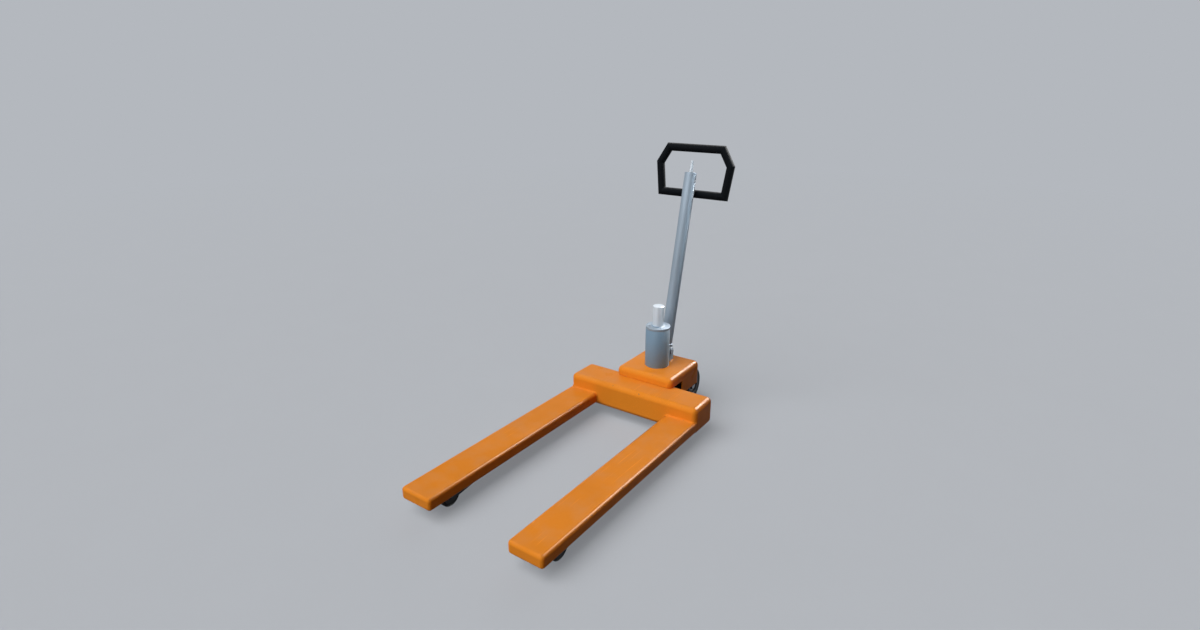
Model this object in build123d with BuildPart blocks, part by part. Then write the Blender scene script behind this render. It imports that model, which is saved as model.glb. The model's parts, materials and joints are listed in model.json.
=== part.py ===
from build123d import *
import os
from math import asin, cos, degrees, hypot, pi, radians, sin, sqrt

# A hand pallet truck with a hydraulic lift, in millimetres, +Z up, standing on the floor at z = 0.
# The forks point along -Y and the handle stands at +Y. Left is +X, as the operator sees it from
# the handle. The lift is at its lowest, and the origin is the middle of the footprint box.

# Fits and running gaps
FIT = 0.05                  # radial clearance of a shaft, bush or plug in its bore
PISTON_FIT = 0.1            # radial clearance of the piston in the cylinder
TURN_GAP = 0.4              # between flat faces that turn on each other
SIDE_GAP = 1.0              # beside an arm, eye or knuckle in its fork
LAP_GAP = 2.0               # between the housing and the crossbar that it turns over
PIN_PLAY = 0.4              # in front of and behind a link pin in its slot
SLOT_RISE = 2.5             # above and below a link pin in its slot or groove
SEAM_GAP = 0.05             # between pieces that are welded together along a rounded edge
OVERCUT = 1.0               # how far a cut reaches past the face that it opens

# Forks
FORK_SPREAD = 685.0         # over the outer sides of the two forks
FORK_WIDTH = 154.0
FORK_LENGTH = 1056.0        # from the crossbar to the tips
FORK_TOP = 116.0            # height of the lowered forks
FORK_DEPTH = 54.0
FORK_WALL = 5.0
FORK_EDGE = 14.0            # outside corner radius
FORK_LIP = 16.0             # width of the lips along the open underside
FORK_NOSE = 40.0            # closed length of the underside at the tip
FORK_COPE = 14.0            # reach of the fork's end round the crossbar's rounded corner

# Crossbar
CROSSBAR_DEPTH = 168.0
CROSSBAR_BOTTOM = 52.0
CROSSBAR_TOP = 181.0
CROSSBAR_WALL = 8.0
CROSSBAR_EDGE = 24.0
CROSSBAR_LIP = 30.0         # width of the lips along the open underside
ROD_WINDOW_WIDTH = 44.0     # for each push rod, through the front wall
ROD_WINDOW_HEIGHT = 30.0
LEVER_WINDOW_TOP = 132.0    # of the opening for the rocker lever in the back wall
LEVER_WINDOW_MARGIN = 6.0   # beside the lever in that opening

# Tongue that carries the steering head
KINGPIN_SETBACK = 76.0      # steering axis behind the crossbar
TONGUE_BOTTOM = 138.0
TONGUE_HEIGHT = 32.0
EYE_WALL = 18.0
BUSH_WALL = 6.0

# Kingpin sleeve under the housing
SLEEVE_DIAMETER = 84.0
SLEEVE_WALL = 13.0
SLEEVE_FLANGE_DIAMETER = 120.0
SLEEVE_FLANGE_HEIGHT = 8.0
WASHER_DIAMETER = 118.0
WASHER_HEIGHT = 6.0
RING_NUT_DIAMETER = 110.0
RING_NUT_HEIGHT = 14.0
RING_NUT_SLOT = 9.0

# Housing
HOUSING_WIDTH = 302.0
HOUSING_LENGTH = 291.0
HOUSING_LAP = 51.0          # reach over the crossbar
HOUSING_TOP = 228.0
HOUSING_WALL = 6.0
HOUSING_EDGE = 24.0
SKIRT_BOTTOM = 113.0
SKIRT_LEAD = 12.0           # side skirts start this far ahead of the steering axis
SKIRT_ROOM = 3.0            # round the skirts in the slots of the crossbar that they turn into
STEERING_ANGLE = 45.0       # degrees to each side
WHEEL_ARCH = 5.0            # clearance of the housing over and beside the wheels

# Lift cylinder and ram
CYLINDER_DIAMETER = 117.4
CYLINDER_HEIGHT = 203.0
CYLINDER_WALL = 9.0
CYLINDER_FLOOR = 16.0
CAP_HEIGHT = 12.0
CAP_SPIGOT = 10.0
CAP_CHAMFER = 1.0
SPANNER_HOLE = 7.0
SPANNER_HOLE_DEPTH = 6.0
SPANNER_HOLE_COUNT = 4
RAM_DIAMETER = 54.0
RAM_REACH = 100.0           # above the cylinder when the forks are down
RAM_CHAMFER = 1.5
RAM_SPIGOT_DIAMETER = 36.0  # turned-down lower end that holds the carriage
PISTON_HEIGHT = 30.0
PISTON_HEADROOM = 4.0
LIFT = 90.0                 # travel of the forks
CYLINDER_BOLT_COUNT = 6
CYLINDER_BOLT = 6.0
CYLINDER_BOLT_DEPTH = 12.0
BOLT_HEAD_RATIO = 0.65      # height of a bolt head over the bolt's diameter
BOLT_ACROSS_RATIO = 1.6     # width across flats over the bolt's diameter

# Wheel carriage
COLLAR_GAP = 2.0            # between the ring nut and the grooved collar
COLLAR_FLANGE = 8.0
COLLAR_CORE_DIAMETER = 80.0
COLLAR_DIAMETER = 124.0
CARRIAGE_HEIGHT = 36.0
CARRIAGE_WIDTH = 132.0
CARRIAGE_EYE_WALL = 9.0
RAM_NUT_HEIGHT = 14.0
RAM_NUT_ACROSS = 55.0
GUIDE_ROD_DIAMETER = 20.0
GUIDE_ROD_SPACING = 60.0
GUIDE_ROD_SETBACK = 86.0    # behind the steering axis
GUIDE_ROD_HEADROOM = 3.0
GUIDE_SLEEVE_WALL = 8.0
GUIDE_SLEEVE_BOTTOM = 113.0

# Steering wheels
WHEEL_DIAMETER = 184.0
WHEEL_WIDTH = 50.0
WHEEL_TRACK = 204.0         # between the middles of the treads
WHEEL_TRAIL = 138.0         # axle behind the steering axis
TREAD_DEPTH = 24.0
TREAD_EDGE = 6.0
HUB_WEB = 14.0
HUB_RIM = 10.0
HUB_BOSS_WALL = 9.0
AXLE_DIAMETER = 25.0
AXLE_SHOULDER_DIAMETER = 36.0
BEARING_DIAMETER = 52.0
BEARING_WIDTH = 15.0
AXLE_CAP_DIAMETER = 38.0
AXLE_CAP_LENGTH = 9.0

# Rocker inside the crossbar
ROCKER_HEIGHT = 115.0
ROCKER_SHAFT_DIAMETER = 30.0
ROCKER_SHAFT_OVERHANG = 50.0  # past the middle of each fork
LEVER_LENGTH = 200.0
LEVER_THICKNESS = 12.0
LEVER_HUB_RADIUS = 26.0
LEVER_EYE_RADIUS = 11.5
LEVER_PIN_DIAMETER = 12.0
LEVER_PIN_GAP = 4.0         # between the end of a lever pin and the collar core
LEVER_SIDE_GAP = 4.0        # between the lever arms and the collar
CRANK_LENGTH = 40.0
CRANK_THICKNESS = 16.0
CRANK_HUB_RADIUS = 23.0
CRANK_HUB_WIDTH = 30.0
LINK_PIN_DIAMETER = 12.0
LINK_EYE_RADIUS = 11.0
LINK_CHEEK = 7.0            # thickness of a fork's cheek at a link pin
BEARING_PLATE = 12.0
BEARING_PLATE_DEPTH = 92.0
BEARING_PLATE_HEIGHT = 84.0
INNER_BEARING_X = 106.0

# Push rods
ROD_DIAMETER = 16.0
ROD_EYE_THICKNESS = 18.0
CLEVIS_REACH = 31.0         # from the crank pin to the bridge of the rod's clevis
CLEVIS_BRIDGE = 14.0

# Load rollers and their arms
ROLLER_DIAMETER = 90.0
ROLLER_WIDTH = 80.0
ROLLER_SETBACK = 137.0      # axle behind the fork tip
ROLLER_TREAD = 12.0
ROLLER_EDGE = 2.0
ROLLER_AXLE_DIAMETER = 20.0
ARM_REACH = 156.0           # arm pivot behind the roller axle
ARM_PIVOT_HEIGHT = 68.0
ARM_PIN_DIAMETER = 20.0
ARM_PLATE = 8.0
ARM_PIVOT_RADIUS = 17.0
ARM_TUBE_RADIUS = 14.0
ARM_AXLE_RADIUS = 15.0
ARM_WEB_START = 32.0
ARM_WEB_END = 92.0
ARM_WEB = 10.0
BRACKET_PLATE = 6.0
BRACKET_WIDTH = 46.0
BRACKET_BOTTOM = 54.0
AXLE_END = 3.0              # a pin stands this far out of its outer plate

# Handle
PIVOT_SETBACK = 82.0        # handle pivot behind the steering axis
PIVOT_HEIGHT = 275.0
HANDLE_TILT = 12.4          # degrees behind upright
HANDLE_LENGTH = 871.0       # pivot to the top of the tube
TUBE_DIAMETER = 57.0
TUBE_WALL = 3.0
TUBE_START = 34.0           # above the pivot
TUBE_PLUG = 54.0            # length of the foot's plug in the tube
FOOT_COLLAR = 6.0
FOOT_NECK_DIAMETER = 34.0
KNUCKLE_RADIUS = 19.0
KNUCKLE_WIDTH = 46.0
HANDLE_PIN_DIAMETER = 20.0
HANDLE_PIN_HEAD = 4.0
HANDLE_PIN_HEAD_DIAMETER = 28.0
CLEVIS_EAR = 10.0
CLEVIS_EAR_RADIUS = 20.0

# Grip loop
LOOP_DROP = 95.5            # lower bar below the top of the tube
LOOP_TILT = 4.7             # degrees behind upright
LOOP_BAR = 38.5
LOOP_BASE = 337.0           # widths and heights between the bar's middles
LOOP_SPAN = 373.0
LOOP_HEAD = 282.0
LOOP_SHOULDER = 139.0
LOOP_HEIGHT = 214.0
SADDLE_WIDTH = 44.0
SADDLE_HEIGHT = 34.0

# Pump
PUMP_CRANK = 30.0           # pivot to the pump roller
PUMP_START = 34.0           # degrees above level, at rest
HANDLE_SWING = 68.0         # degrees
PUMP_ROLLER_DIAMETER = 22.0
PUMP_ROLLER_WIDTH = 14.0
PUMP_ROLLER_GAP = 0.7       # to the plunger
PUMP_PIN_DIAMETER = 8.0
PUMP_EAR = 12.0
PUMP_EAR_RADIUS = 10.0
ROLLER_POCKET = 1.5         # round the pump roller in the foot
PLUNGER_DIAMETER = 15.0
PLUNGER_LENGTH = 98.0
BARREL_WALL = 3.5
BARREL_TOP = 240.0
BARREL_BOTTOM = 122.0
BARREL_FLOOR = 5.0
SPRING_WIRE = 2.0
SPRING_TURNS = 7
SPRING_GAP = 0.3            # to the bore and the seats

# Release
RELEASE_PIVOT = 45.0        # below the top of the tube
RELEASE_REACH = 57.0        # lever above the top of the tube
RELEASE_DIAMETER = 18.0
RELEASE_TIP_DIAMETER = 10.0
RELEASE_PIN_DIAMETER = 8.0
RELEASE_BOSS_RADIUS = 10.0
RELEASE_BOSS_WIDTH = 22.0
RELEASE_ARM = 11.0          # lever pivot to the release rod
RELEASE_ARM_CHEEK = 4.0
RELEASE_LINK_PIN = 6.0
RELEASE_LINK_EYE = 5.5
RELEASE_LINK_PLAY = 0.7
RELEASE_ROD_DIAMETER = 8.0
RELEASE_ROD_EYE = 5.0
RELEASE_ROD_START = 30.0    # above the handle pivot
RELEASE_PULL = 15.0         # degrees the lever is pulled back
RELEASE_PUSH = 10.0         # degrees the lever is pushed forward
CAP_RING = 12.0
VALVE_DIAMETER = 22.0
VALVE_HEIGHT = 46.0
VALVE_X = 62.0
VALVE_STEM_DIAMETER = 10.0
VALVE_STEM = 12.0

SIDES = (("left", 1), ("right", -1))

# Places worked out from the sizes above
tilt = radians(HANDLE_TILT)
loop_tilt = radians(LOOP_TILT)
tube_radius = TUBE_DIAMETER / 2
loop_radius = LOOP_BAR / 2
loop_offset = tube_radius + loop_radius
loop_z = HANDLE_LENGTH - LOOP_DROP
pivot_behind_heel = CROSSBAR_DEPTH + KINGPIN_SETBACK + PIVOT_SETBACK
loop_behind_heel = pivot_behind_heel + loop_z * sin(tilt) + loop_offset * cos(tilt)
rear_reach = loop_behind_heel + LOOP_HEIGHT * sin(loop_tilt) + loop_radius

heel_y = (FORK_LENGTH - rear_reach) / 2
tip_y = heel_y - FORK_LENGTH
back_y = heel_y + CROSSBAR_DEPTH
kingpin_y = back_y + KINGPIN_SETBACK
pivot_y = kingpin_y + PIVOT_SETBACK
axle_y = kingpin_y + WHEEL_TRAIL
roller_y = tip_y + ROLLER_SETBACK
arm_pivot_y = roller_y + ARM_REACH

fork_x = (FORK_SPREAD - FORK_WIDTH) / 2
fork_bottom = FORK_TOP - FORK_DEPTH
wheel_inner_x = (WHEEL_TRACK - WHEEL_WIDTH) / 2
wheel_outer_x = (WHEEL_TRACK + WHEEL_WIDTH) / 2
axle_z = WHEEL_DIAMETER / 2
roller_z = ROLLER_DIAMETER / 2

# Heights of the stack on the steering axis
tongue_top = TONGUE_BOTTOM + TONGUE_HEIGHT
housing_under = HOUSING_TOP - HOUSING_WALL
washer_top = TONGUE_BOTTOM - TURN_GAP
nut_top = washer_top - WASHER_HEIGHT
sleeve_bottom = nut_top - RING_NUT_HEIGHT
collar_top = sleeve_bottom - COLLAR_GAP
groove_top = collar_top - COLLAR_FLANGE
lever_pin_z = groove_top - SLOT_RISE - LEVER_PIN_DIAMETER / 2
groove_bottom = lever_pin_z - SLOT_RISE - LEVER_PIN_DIAMETER / 2
carriage_top = groove_bottom - COLLAR_FLANGE
carriage_bottom = carriage_top - CARRIAGE_HEIGHT
cylinder_top = HOUSING_TOP + CYLINDER_HEIGHT
tube_top = cylinder_top - CAP_HEIGHT
piston_top = tube_top - CAP_SPIGOT - PISTON_HEADROOM

sleeve_radius = SLEEVE_DIAMETER / 2
bush_radius = sleeve_radius + FIT + BUSH_WALL
eye_radius = bush_radius + FIT + EYE_WALL
ram_radius = RAM_DIAMETER / 2
cylinder_radius = CYLINDER_DIAMETER / 2
bore_radius = cylinder_radius - CYLINDER_WALL

# Linkage: the carriage goes down by the lift, the rocker follows it and drives both roller arms
lever_start = asin((lever_pin_z - ROCKER_HEIGHT) / LEVER_LENGTH)
lever_end = asin((lever_pin_z - LIFT - ROCKER_HEIGHT) / LEVER_LENGTH)
rocker_swing = lever_start - lever_end
rocker_y = kingpin_y - LEVER_LENGTH * (cos(lever_start) + cos(lever_end)) / 2
rod_travel = 2 * CRANK_LENGTH * sin(rocker_swing / 2)
arm_drop = ARM_PIVOT_HEIGHT - roller_z
arm_length = hypot(ARM_REACH, arm_drop)
arm_swing = asin((arm_drop + LIFT) / arm_length) - asin(arm_drop / arm_length)
lug_length = rod_travel / (2 * sin(arm_swing / 2))

rocker_at = (rocker_y, ROCKER_HEIGHT)
lever_pin_at = (rocker_y + LEVER_LENGTH * cos(lever_start), lever_pin_z)
crank_pin_at = (
    rocker_y + CRANK_LENGTH * sin(rocker_swing / 2),
    ROCKER_HEIGHT - CRANK_LENGTH * cos(rocker_swing / 2),
)
arm_pivot_at = (arm_pivot_y, ARM_PIVOT_HEIGHT)
lug_pin_at = (
    arm_pivot_y + lug_length * sin(arm_swing / 2),
    ARM_PIVOT_HEIGHT + lug_length * cos(arm_swing / 2),
)
roller_at = (roller_y, roller_z)
axle_at = (axle_y, axle_z)

# Handle: its plane has Z up along the tube and Y square to it, towards the operator
pivot_at = (pivot_y, PIVOT_HEIGHT)
handle_plane = Plane(origin=(0, pivot_y, PIVOT_HEIGHT), x_dir=(1, 0, 0), z_dir=(0, sin(tilt), cos(tilt)))
loop_plane = Plane(
    origin=handle_plane.from_local_coords((0, loop_offset, loop_z)),
    x_dir=(1, 0, 0),
    z_dir=(0, -cos(loop_tilt), sin(loop_tilt)),
)
pump_angle = radians(PUMP_START)
pump_roller_at = (pivot_y + PUMP_CRANK * cos(pump_angle), PIVOT_HEIGHT + PUMP_CRANK * sin(pump_angle))
pump_reach = (PUMP_CRANK + PUMP_CRANK * cos(pump_angle)) / 2
plunger_y = pivot_y + pump_reach
plunger_top = pump_roller_at[1] - PUMP_ROLLER_DIAMETER / 2 - PUMP_ROLLER_GAP
plunger_travel = 2 * PUMP_CRANK * sin(radians(HANDLE_SWING / 2))
barrel_radius = PLUNGER_DIAMETER / 2 + FIT + BARREL_WALL
ear_inner_x = KNUCKLE_WIDTH / 2 + SIDE_GAP
ear_outer_x = ear_inner_x + CLEVIS_EAR
release_z = HANDLE_LENGTH - RELEASE_PIVOT


def block(x, y, z, mode=Mode.ADD):
    """A box between three pairs of limits."""
    with Locations(((x[0] + x[1]) / 2, (y[0] + y[1]) / 2, (z[0] + z[1]) / 2)):
        Box(x[1] - x[0], y[1] - y[0], z[1] - z[0], mode=mode)


def rounded_block(x, y, z, radius):
    """A box between three pairs of limits, with every edge rounded."""
    with BuildPart() as form:
        block(x, y, z)
        fillet(form.edges(), radius)
    return form.part


def bar(plane, at, radius, ends, mode=Mode.ADD):
    """A round bar along a plane's normal, between two distances from the plane."""
    with BuildSketch(plane.offset(ends[0])) as outline:
        with Locations(at):
            Circle(radius)
    extrude(outline.sketch, amount=ends[1] - ends[0], mode=mode)


def ring(plane, at, outer, inner, ends):
    """A tube along a plane's normal, between two distances from the plane."""
    with BuildSketch(plane.offset(ends[0])) as outline:
        with Locations(at):
            Circle(outer)
            Circle(inner, mode=Mode.SUBTRACT)
    extrude(outline.sketch, amount=ends[1] - ends[0])


def hexagon(at, across, z):
    """An upright hexagonal bar between two heights."""
    with BuildSketch(Plane.XY.offset(z[0])) as outline:
        with Locations(at):
            RegularPolygon(across / sqrt(3), 6)
    extrude(outline.sketch, amount=z[1] - z[0])


def link(plane, start, start_radius, end, end_radius, ends):
    """A flat bar, round at both ends, between two distances from a plane."""
    with BuildSketch(plane.offset(ends[0])) as outline:
        with Locations(start):
            Circle(start_radius)
        with Locations(end):
            Circle(end_radius)
        make_hull()
    extrude(outline.sketch, amount=ends[1] - ends[0])


def upright_slot(at, x, mode=Mode.SUBTRACT):
    """The slot of a link pin: close in front and behind, long enough for the pin's rise and fall."""
    width = LINK_PIN_DIAMETER + 2 * PIN_PLAY
    with BuildSketch(Plane.YZ.offset(x[0])) as outline:
        with Locations(at):
            SlotOverall(LINK_PIN_DIAMETER + 2 * SLOT_RISE, width, rotation=90)
    extrude(outline.sketch, amount=x[1] - x[0], mode=mode)


def coil_point(turns):
    """The place and direction of the pump spring's wire after so many turns."""
    angle = 2 * pi * turns
    rise = coil_pitch / (2 * pi * coil_radius)
    height = coil_start + coil_pitch * turns
    place = Vector(coil_radius * cos(angle), plunger_y + coil_radius * sin(angle), height)
    return place, Vector(-sin(angle), cos(angle), rise).normalized()


def quarter_of_coil(quarter):
    """Two tangent arcs that follow a quarter turn of the pump spring."""
    start, start_way = coil_point(quarter / 4)
    end, end_way = coil_point((quarter + 1) / 4)
    span = end - start
    ways = start_way + end_way
    square = 4 - ways.dot(ways)
    reach = (sqrt(span.dot(ways) ** 2 + square * span.dot(span)) - span.dot(ways)) / square
    before = start + start_way * reach
    after = end - end_way * reach
    middle = (before + after) * 0.5
    TangentArc(start, middle, tangent=start_way)
    TangentArc(middle, end, tangent=after - before)


def keep(piece, label):
    """Name a finished piece and write it to its own file."""
    piece.part.label = label
    export_step(piece.part, f"parts/{label}.step")


def both(middle, inner, outer):
    """The two pairs of limits on either side of a middle."""
    return (middle - outer, middle - inner), (middle + inner, middle + outer)


os.makedirs("parts", exist_ok=True)

# Crossbar: a box girder, open below, with windows for the rods and the lever and slots for the turning skirts
half_spread = FORK_SPREAD / 2
collar_radius = COLLAR_DIAMETER / 2
lever_inner_x = collar_radius + LEVER_SIDE_GAP
lever_outer_x = lever_inner_x + LEVER_THICKNESS
lever_window = lever_outer_x + LEVER_WINDOW_MARGIN
half_housing = HOUSING_WIDTH / 2
half_hollow = half_housing - HOUSING_WALL
steering = radians(STEERING_ANGLE)
slot_inner = half_hollow - SKIRT_ROOM
slot_mouth = (half_housing - KINGPIN_SETBACK * sin(steering)) / cos(steering)
slot_outer = hypot(slot_mouth, KINGPIN_SETBACK) + SKIRT_ROOM
slot_end = STEERING_ANGLE + degrees((SKIRT_LEAD + SKIRT_ROOM) / slot_inner)
girder = rounded_block(
    (-half_spread, half_spread), (heel_y, back_y), (CROSSBAR_BOTTOM, CROSSBAR_TOP), CROSSBAR_EDGE
)
girder_hollow = rounded_block(
    (-half_spread + CROSSBAR_WALL, half_spread - CROSSBAR_WALL),
    (heel_y + CROSSBAR_WALL, back_y - CROSSBAR_WALL),
    (CROSSBAR_BOTTOM + CROSSBAR_WALL, CROSSBAR_TOP - CROSSBAR_WALL),
    CROSSBAR_EDGE - CROSSBAR_WALL,
)
with BuildPart() as crossbar:
    add(girder)
    add(girder_hollow, mode=Mode.SUBTRACT)
    block(
        (-half_spread + CROSSBAR_LIP, half_spread - CROSSBAR_LIP),
        (heel_y + CROSSBAR_LIP, back_y - CROSSBAR_LIP),
        (CROSSBAR_BOTTOM - OVERCUT, CROSSBAR_BOTTOM + CROSSBAR_WALL + OVERCUT),
        Mode.SUBTRACT,
    )
    for side, sign in SIDES:
        block(
            (sign * fork_x - ROD_WINDOW_WIDTH / 2, sign * fork_x + ROD_WINDOW_WIDTH / 2),
            (heel_y - OVERCUT, heel_y + CROSSBAR_LIP + OVERCUT),
            (crank_pin_at[1] - ROD_WINDOW_HEIGHT / 2, crank_pin_at[1] + ROD_WINDOW_HEIGHT / 2),
            Mode.SUBTRACT,
        )
    block(
        (-lever_window, lever_window),
        (back_y - CROSSBAR_LIP - OVERCUT, back_y + OVERCUT),
        (CROSSBAR_BOTTOM - OVERCUT, LEVER_WINDOW_TOP),
        Mode.SUBTRACT,
    )
    with BuildSketch(Plane.XY.offset(SKIRT_BOTTOM - SKIRT_ROOM)):
        for start in (-slot_end, 180):
            with BuildLine():
                inner = CenterArc((0, kingpin_y), slot_inner, start, slot_end)
                outer = CenterArc((0, kingpin_y), slot_outer, start, slot_end)
                Line(inner @ 0, outer @ 0)
                Line(inner @ 1, outer @ 1)
            make_face()
    extrude(amount=CROSSBAR_TOP + OVERCUT - SKIRT_BOTTOM + SKIRT_ROOM, mode=Mode.SUBTRACT)
keep(crossbar, "crossbar")

# The crossbar's outside, grown by the seam, shapes the ends of what is welded to it
seat_side = half_spread + SEAM_GAP
crossbar_seat = rounded_block(
    (-seat_side, seat_side),
    (heel_y - SEAM_GAP, back_y + SEAM_GAP),
    (CROSSBAR_BOTTOM - SEAM_GAP, CROSSBAR_TOP + SEAM_GAP),
    CROSSBAR_EDGE + SEAM_GAP,
)

# Forks: channels open below, with a rounded nose and a heel that fits round the crossbar
fork_end = heel_y + FORK_COPE
for side, sign in SIDES:
    middle = sign * fork_x
    half = FORK_WIDTH / 2
    inside = half - FORK_WALL
    shell = rounded_block(
        (middle - half, middle + half), (tip_y, fork_end + 2 * FORK_EDGE), (fork_bottom, FORK_TOP), FORK_EDGE
    )
    hollow = rounded_block(
        (middle - inside, middle + inside),
        (tip_y + FORK_WALL, fork_end + 2 * FORK_EDGE),
        (fork_bottom + FORK_WALL, FORK_TOP - FORK_WALL),
        FORK_EDGE - FORK_WALL,
    )
    opening = half - FORK_LIP
    with BuildPart() as fork:
        add(shell)
        add(hollow, mode=Mode.SUBTRACT)
        block(
            (middle - opening, middle + opening),
            (tip_y + FORK_NOSE, fork_end + OVERCUT),
            (fork_bottom - OVERCUT, fork_bottom + FORK_WALL + OVERCUT),
            Mode.SUBTRACT,
        )
        block(
            (middle - half - OVERCUT, middle + half + OVERCUT),
            (fork_end, fork_end + 3 * FORK_EDGE),
            (fork_bottom - OVERCUT, FORK_TOP + OVERCUT),
            Mode.SUBTRACT,
        )
        add(crossbar_seat, mode=Mode.SUBTRACT)
    keep(fork, f"fork_{side}")

# Tongue with the steering eye, welded to the back of the crossbar
with BuildPart() as tongue:
    with BuildSketch(Plane.XY.offset(TONGUE_BOTTOM)):
        with Locations((0, kingpin_y)):
            Circle(eye_radius)
        with Locations((0, kingpin_y)):
            Rectangle(2 * eye_radius, KINGPIN_SETBACK + CROSSBAR_EDGE, align=(Align.CENTER, Align.MAX))
        with Locations((0, kingpin_y)):
            Circle(bush_radius + FIT, mode=Mode.SUBTRACT)
    extrude(amount=TONGUE_HEIGHT)
    add(crossbar_seat, mode=Mode.SUBTRACT)
keep(tongue, "tongue")

with BuildPart() as kingpin_bush:
    ring(Plane.XY, (0, kingpin_y), bush_radius, sleeve_radius + FIT, (TONGUE_BOTTOM, tongue_top))
keep(kingpin_bush, "kingpin_bush")

# Bearing plates for the rocker shaft, two beside each fork
shaft_end = fork_x + ROCKER_SHAFT_OVERHANG
plate_front = heel_y + CROSSBAR_WALL
plate_top = CROSSBAR_TOP - CROSSBAR_WALL
with BuildPart() as bearing_plates:
    with BuildSketch(Plane.YZ) as plate:
        with Locations((plate_front, plate_top)):
            Rectangle(BEARING_PLATE_DEPTH, BEARING_PLATE_HEIGHT, align=(Align.MIN, Align.MAX))
        fillet(plate.vertices().group_by(Axis.X)[0].sort_by(Axis.Y)[-1], CROSSBAR_EDGE)
        with Locations(rocker_at):
            Circle(ROCKER_SHAFT_DIAMETER / 2 + FIT, mode=Mode.SUBTRACT)
    for x in (INNER_BEARING_X, shaft_end - BEARING_PLATE / 2):
        for side, sign in SIDES:
            extrude(plate.sketch.moved(Pos(sign * x - BEARING_PLATE / 2, 0, 0)), amount=BEARING_PLATE)
keep(bearing_plates, "bearing_plates")

# Steering head: kingpin sleeve, washer and ring nut
with BuildPart() as kingpin_sleeve:
    sleeve_bore = sleeve_radius - SLEEVE_WALL
    ring(Plane.XY, (0, kingpin_y), sleeve_radius, sleeve_bore, (sleeve_bottom, housing_under))
    flange_bottom = tongue_top + TURN_GAP
    flange = (flange_bottom, flange_bottom + SLEEVE_FLANGE_HEIGHT)
    ring(Plane.XY, (0, kingpin_y), SLEEVE_FLANGE_DIAMETER / 2, sleeve_bore, flange)
keep(kingpin_sleeve, "kingpin_sleeve")

with BuildPart() as thrust_washer:
    ring(Plane.XY, (0, kingpin_y), WASHER_DIAMETER / 2, sleeve_radius + FIT, (nut_top, washer_top))
keep(thrust_washer, "thrust_washer")

with BuildPart() as ring_nut:
    ring(Plane.XY, (0, kingpin_y), RING_NUT_DIAMETER / 2, sleeve_radius + FIT, (sleeve_bottom, nut_top))
    with Locations((0, kingpin_y, (sleeve_bottom + nut_top) / 2)):
        with PolarLocations(RING_NUT_DIAMETER / 2, SPANNER_HOLE_COUNT):
            Box(RING_NUT_SLOT, RING_NUT_SLOT, RING_NUT_HEIGHT, mode=Mode.SUBTRACT)
keep(ring_nut, "ring_nut")

# Housing: a hood that laps over the crossbar and has skirts outside the wheels
housing_front = back_y - HOUSING_LAP
housing_back = housing_front + HOUSING_LENGTH
lap_bottom = CROSSBAR_TOP + LAP_GAP
arch_top = WHEEL_DIAMETER + WHEEL_ARCH
arch_side = wheel_outer_x + WHEEL_ARCH
cylinder_bolt_circle = (bore_radius + cylinder_radius) / 2
hood = rounded_block(
    (-half_housing, half_housing),
    (housing_front, housing_back),
    (SKIRT_BOTTOM - 2 * HOUSING_EDGE, HOUSING_TOP),
    HOUSING_EDGE,
)
hood_hollow = rounded_block(
    (-half_hollow, half_hollow),
    (housing_front + HOUSING_WALL, housing_back - HOUSING_WALL),
    (SKIRT_BOTTOM - 3 * HOUSING_EDGE, housing_under),
    HOUSING_EDGE - HOUSING_WALL,
)
below = SKIRT_BOTTOM - 3 * HOUSING_EDGE
with BuildPart() as base_housing:
    add(hood)
    add(hood_hollow, mode=Mode.SUBTRACT)
    across = (-half_housing - OVERCUT, half_housing + OVERCUT)
    along = (housing_front - OVERCUT, housing_back + OVERCUT)
    block(across, along, (below, SKIRT_BOTTOM), Mode.SUBTRACT)
    block(across, (housing_front - OVERCUT, kingpin_y - SKIRT_LEAD), (below, lap_bottom), Mode.SUBTRACT)
    block(
        (-arch_side, arch_side),
        (housing_back - HOUSING_EDGE, housing_back + OVERCUT),
        (below, arch_top),
        Mode.SUBTRACT,
    )
    top_cut = (housing_under - OVERCUT, HOUSING_TOP + OVERCUT)
    bar(Plane.XY, (0, kingpin_y), ram_radius + COLLAR_GAP, top_cut, Mode.SUBTRACT)
    bar(Plane.XY, (0, plunger_y), barrel_radius + FIT, top_cut, Mode.SUBTRACT)
    with Locations((0, kingpin_y, housing_under)):
        with PolarLocations(cylinder_bolt_circle, CYLINDER_BOLT_COUNT):
            Cylinder(CYLINDER_BOLT / 2 + FIT, 3 * HOUSING_WALL, mode=Mode.SUBTRACT)
keep(base_housing, "base_housing")

# Lift cylinder, its cap and the screws under its floor
with BuildPart() as lift_cylinder:
    bar(Plane.XY, (0, kingpin_y), cylinder_radius, (HOUSING_TOP, tube_top))
    bore_cut = (HOUSING_TOP + CYLINDER_FLOOR, tube_top + OVERCUT)
    bar(Plane.XY, (0, kingpin_y), bore_radius, bore_cut, Mode.SUBTRACT)
    floor_cut = (HOUSING_TOP - OVERCUT, HOUSING_TOP + CYLINDER_FLOOR + OVERCUT)
    bar(Plane.XY, (0, kingpin_y), ram_radius + FIT, floor_cut, Mode.SUBTRACT)
    with Locations((0, kingpin_y, HOUSING_TOP)):
        with PolarLocations(cylinder_bolt_circle, CYLINDER_BOLT_COUNT):
            Cylinder(CYLINDER_BOLT / 2 + FIT, 2 * CYLINDER_BOLT_DEPTH, mode=Mode.SUBTRACT)
keep(lift_cylinder, "lift_cylinder")

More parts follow.
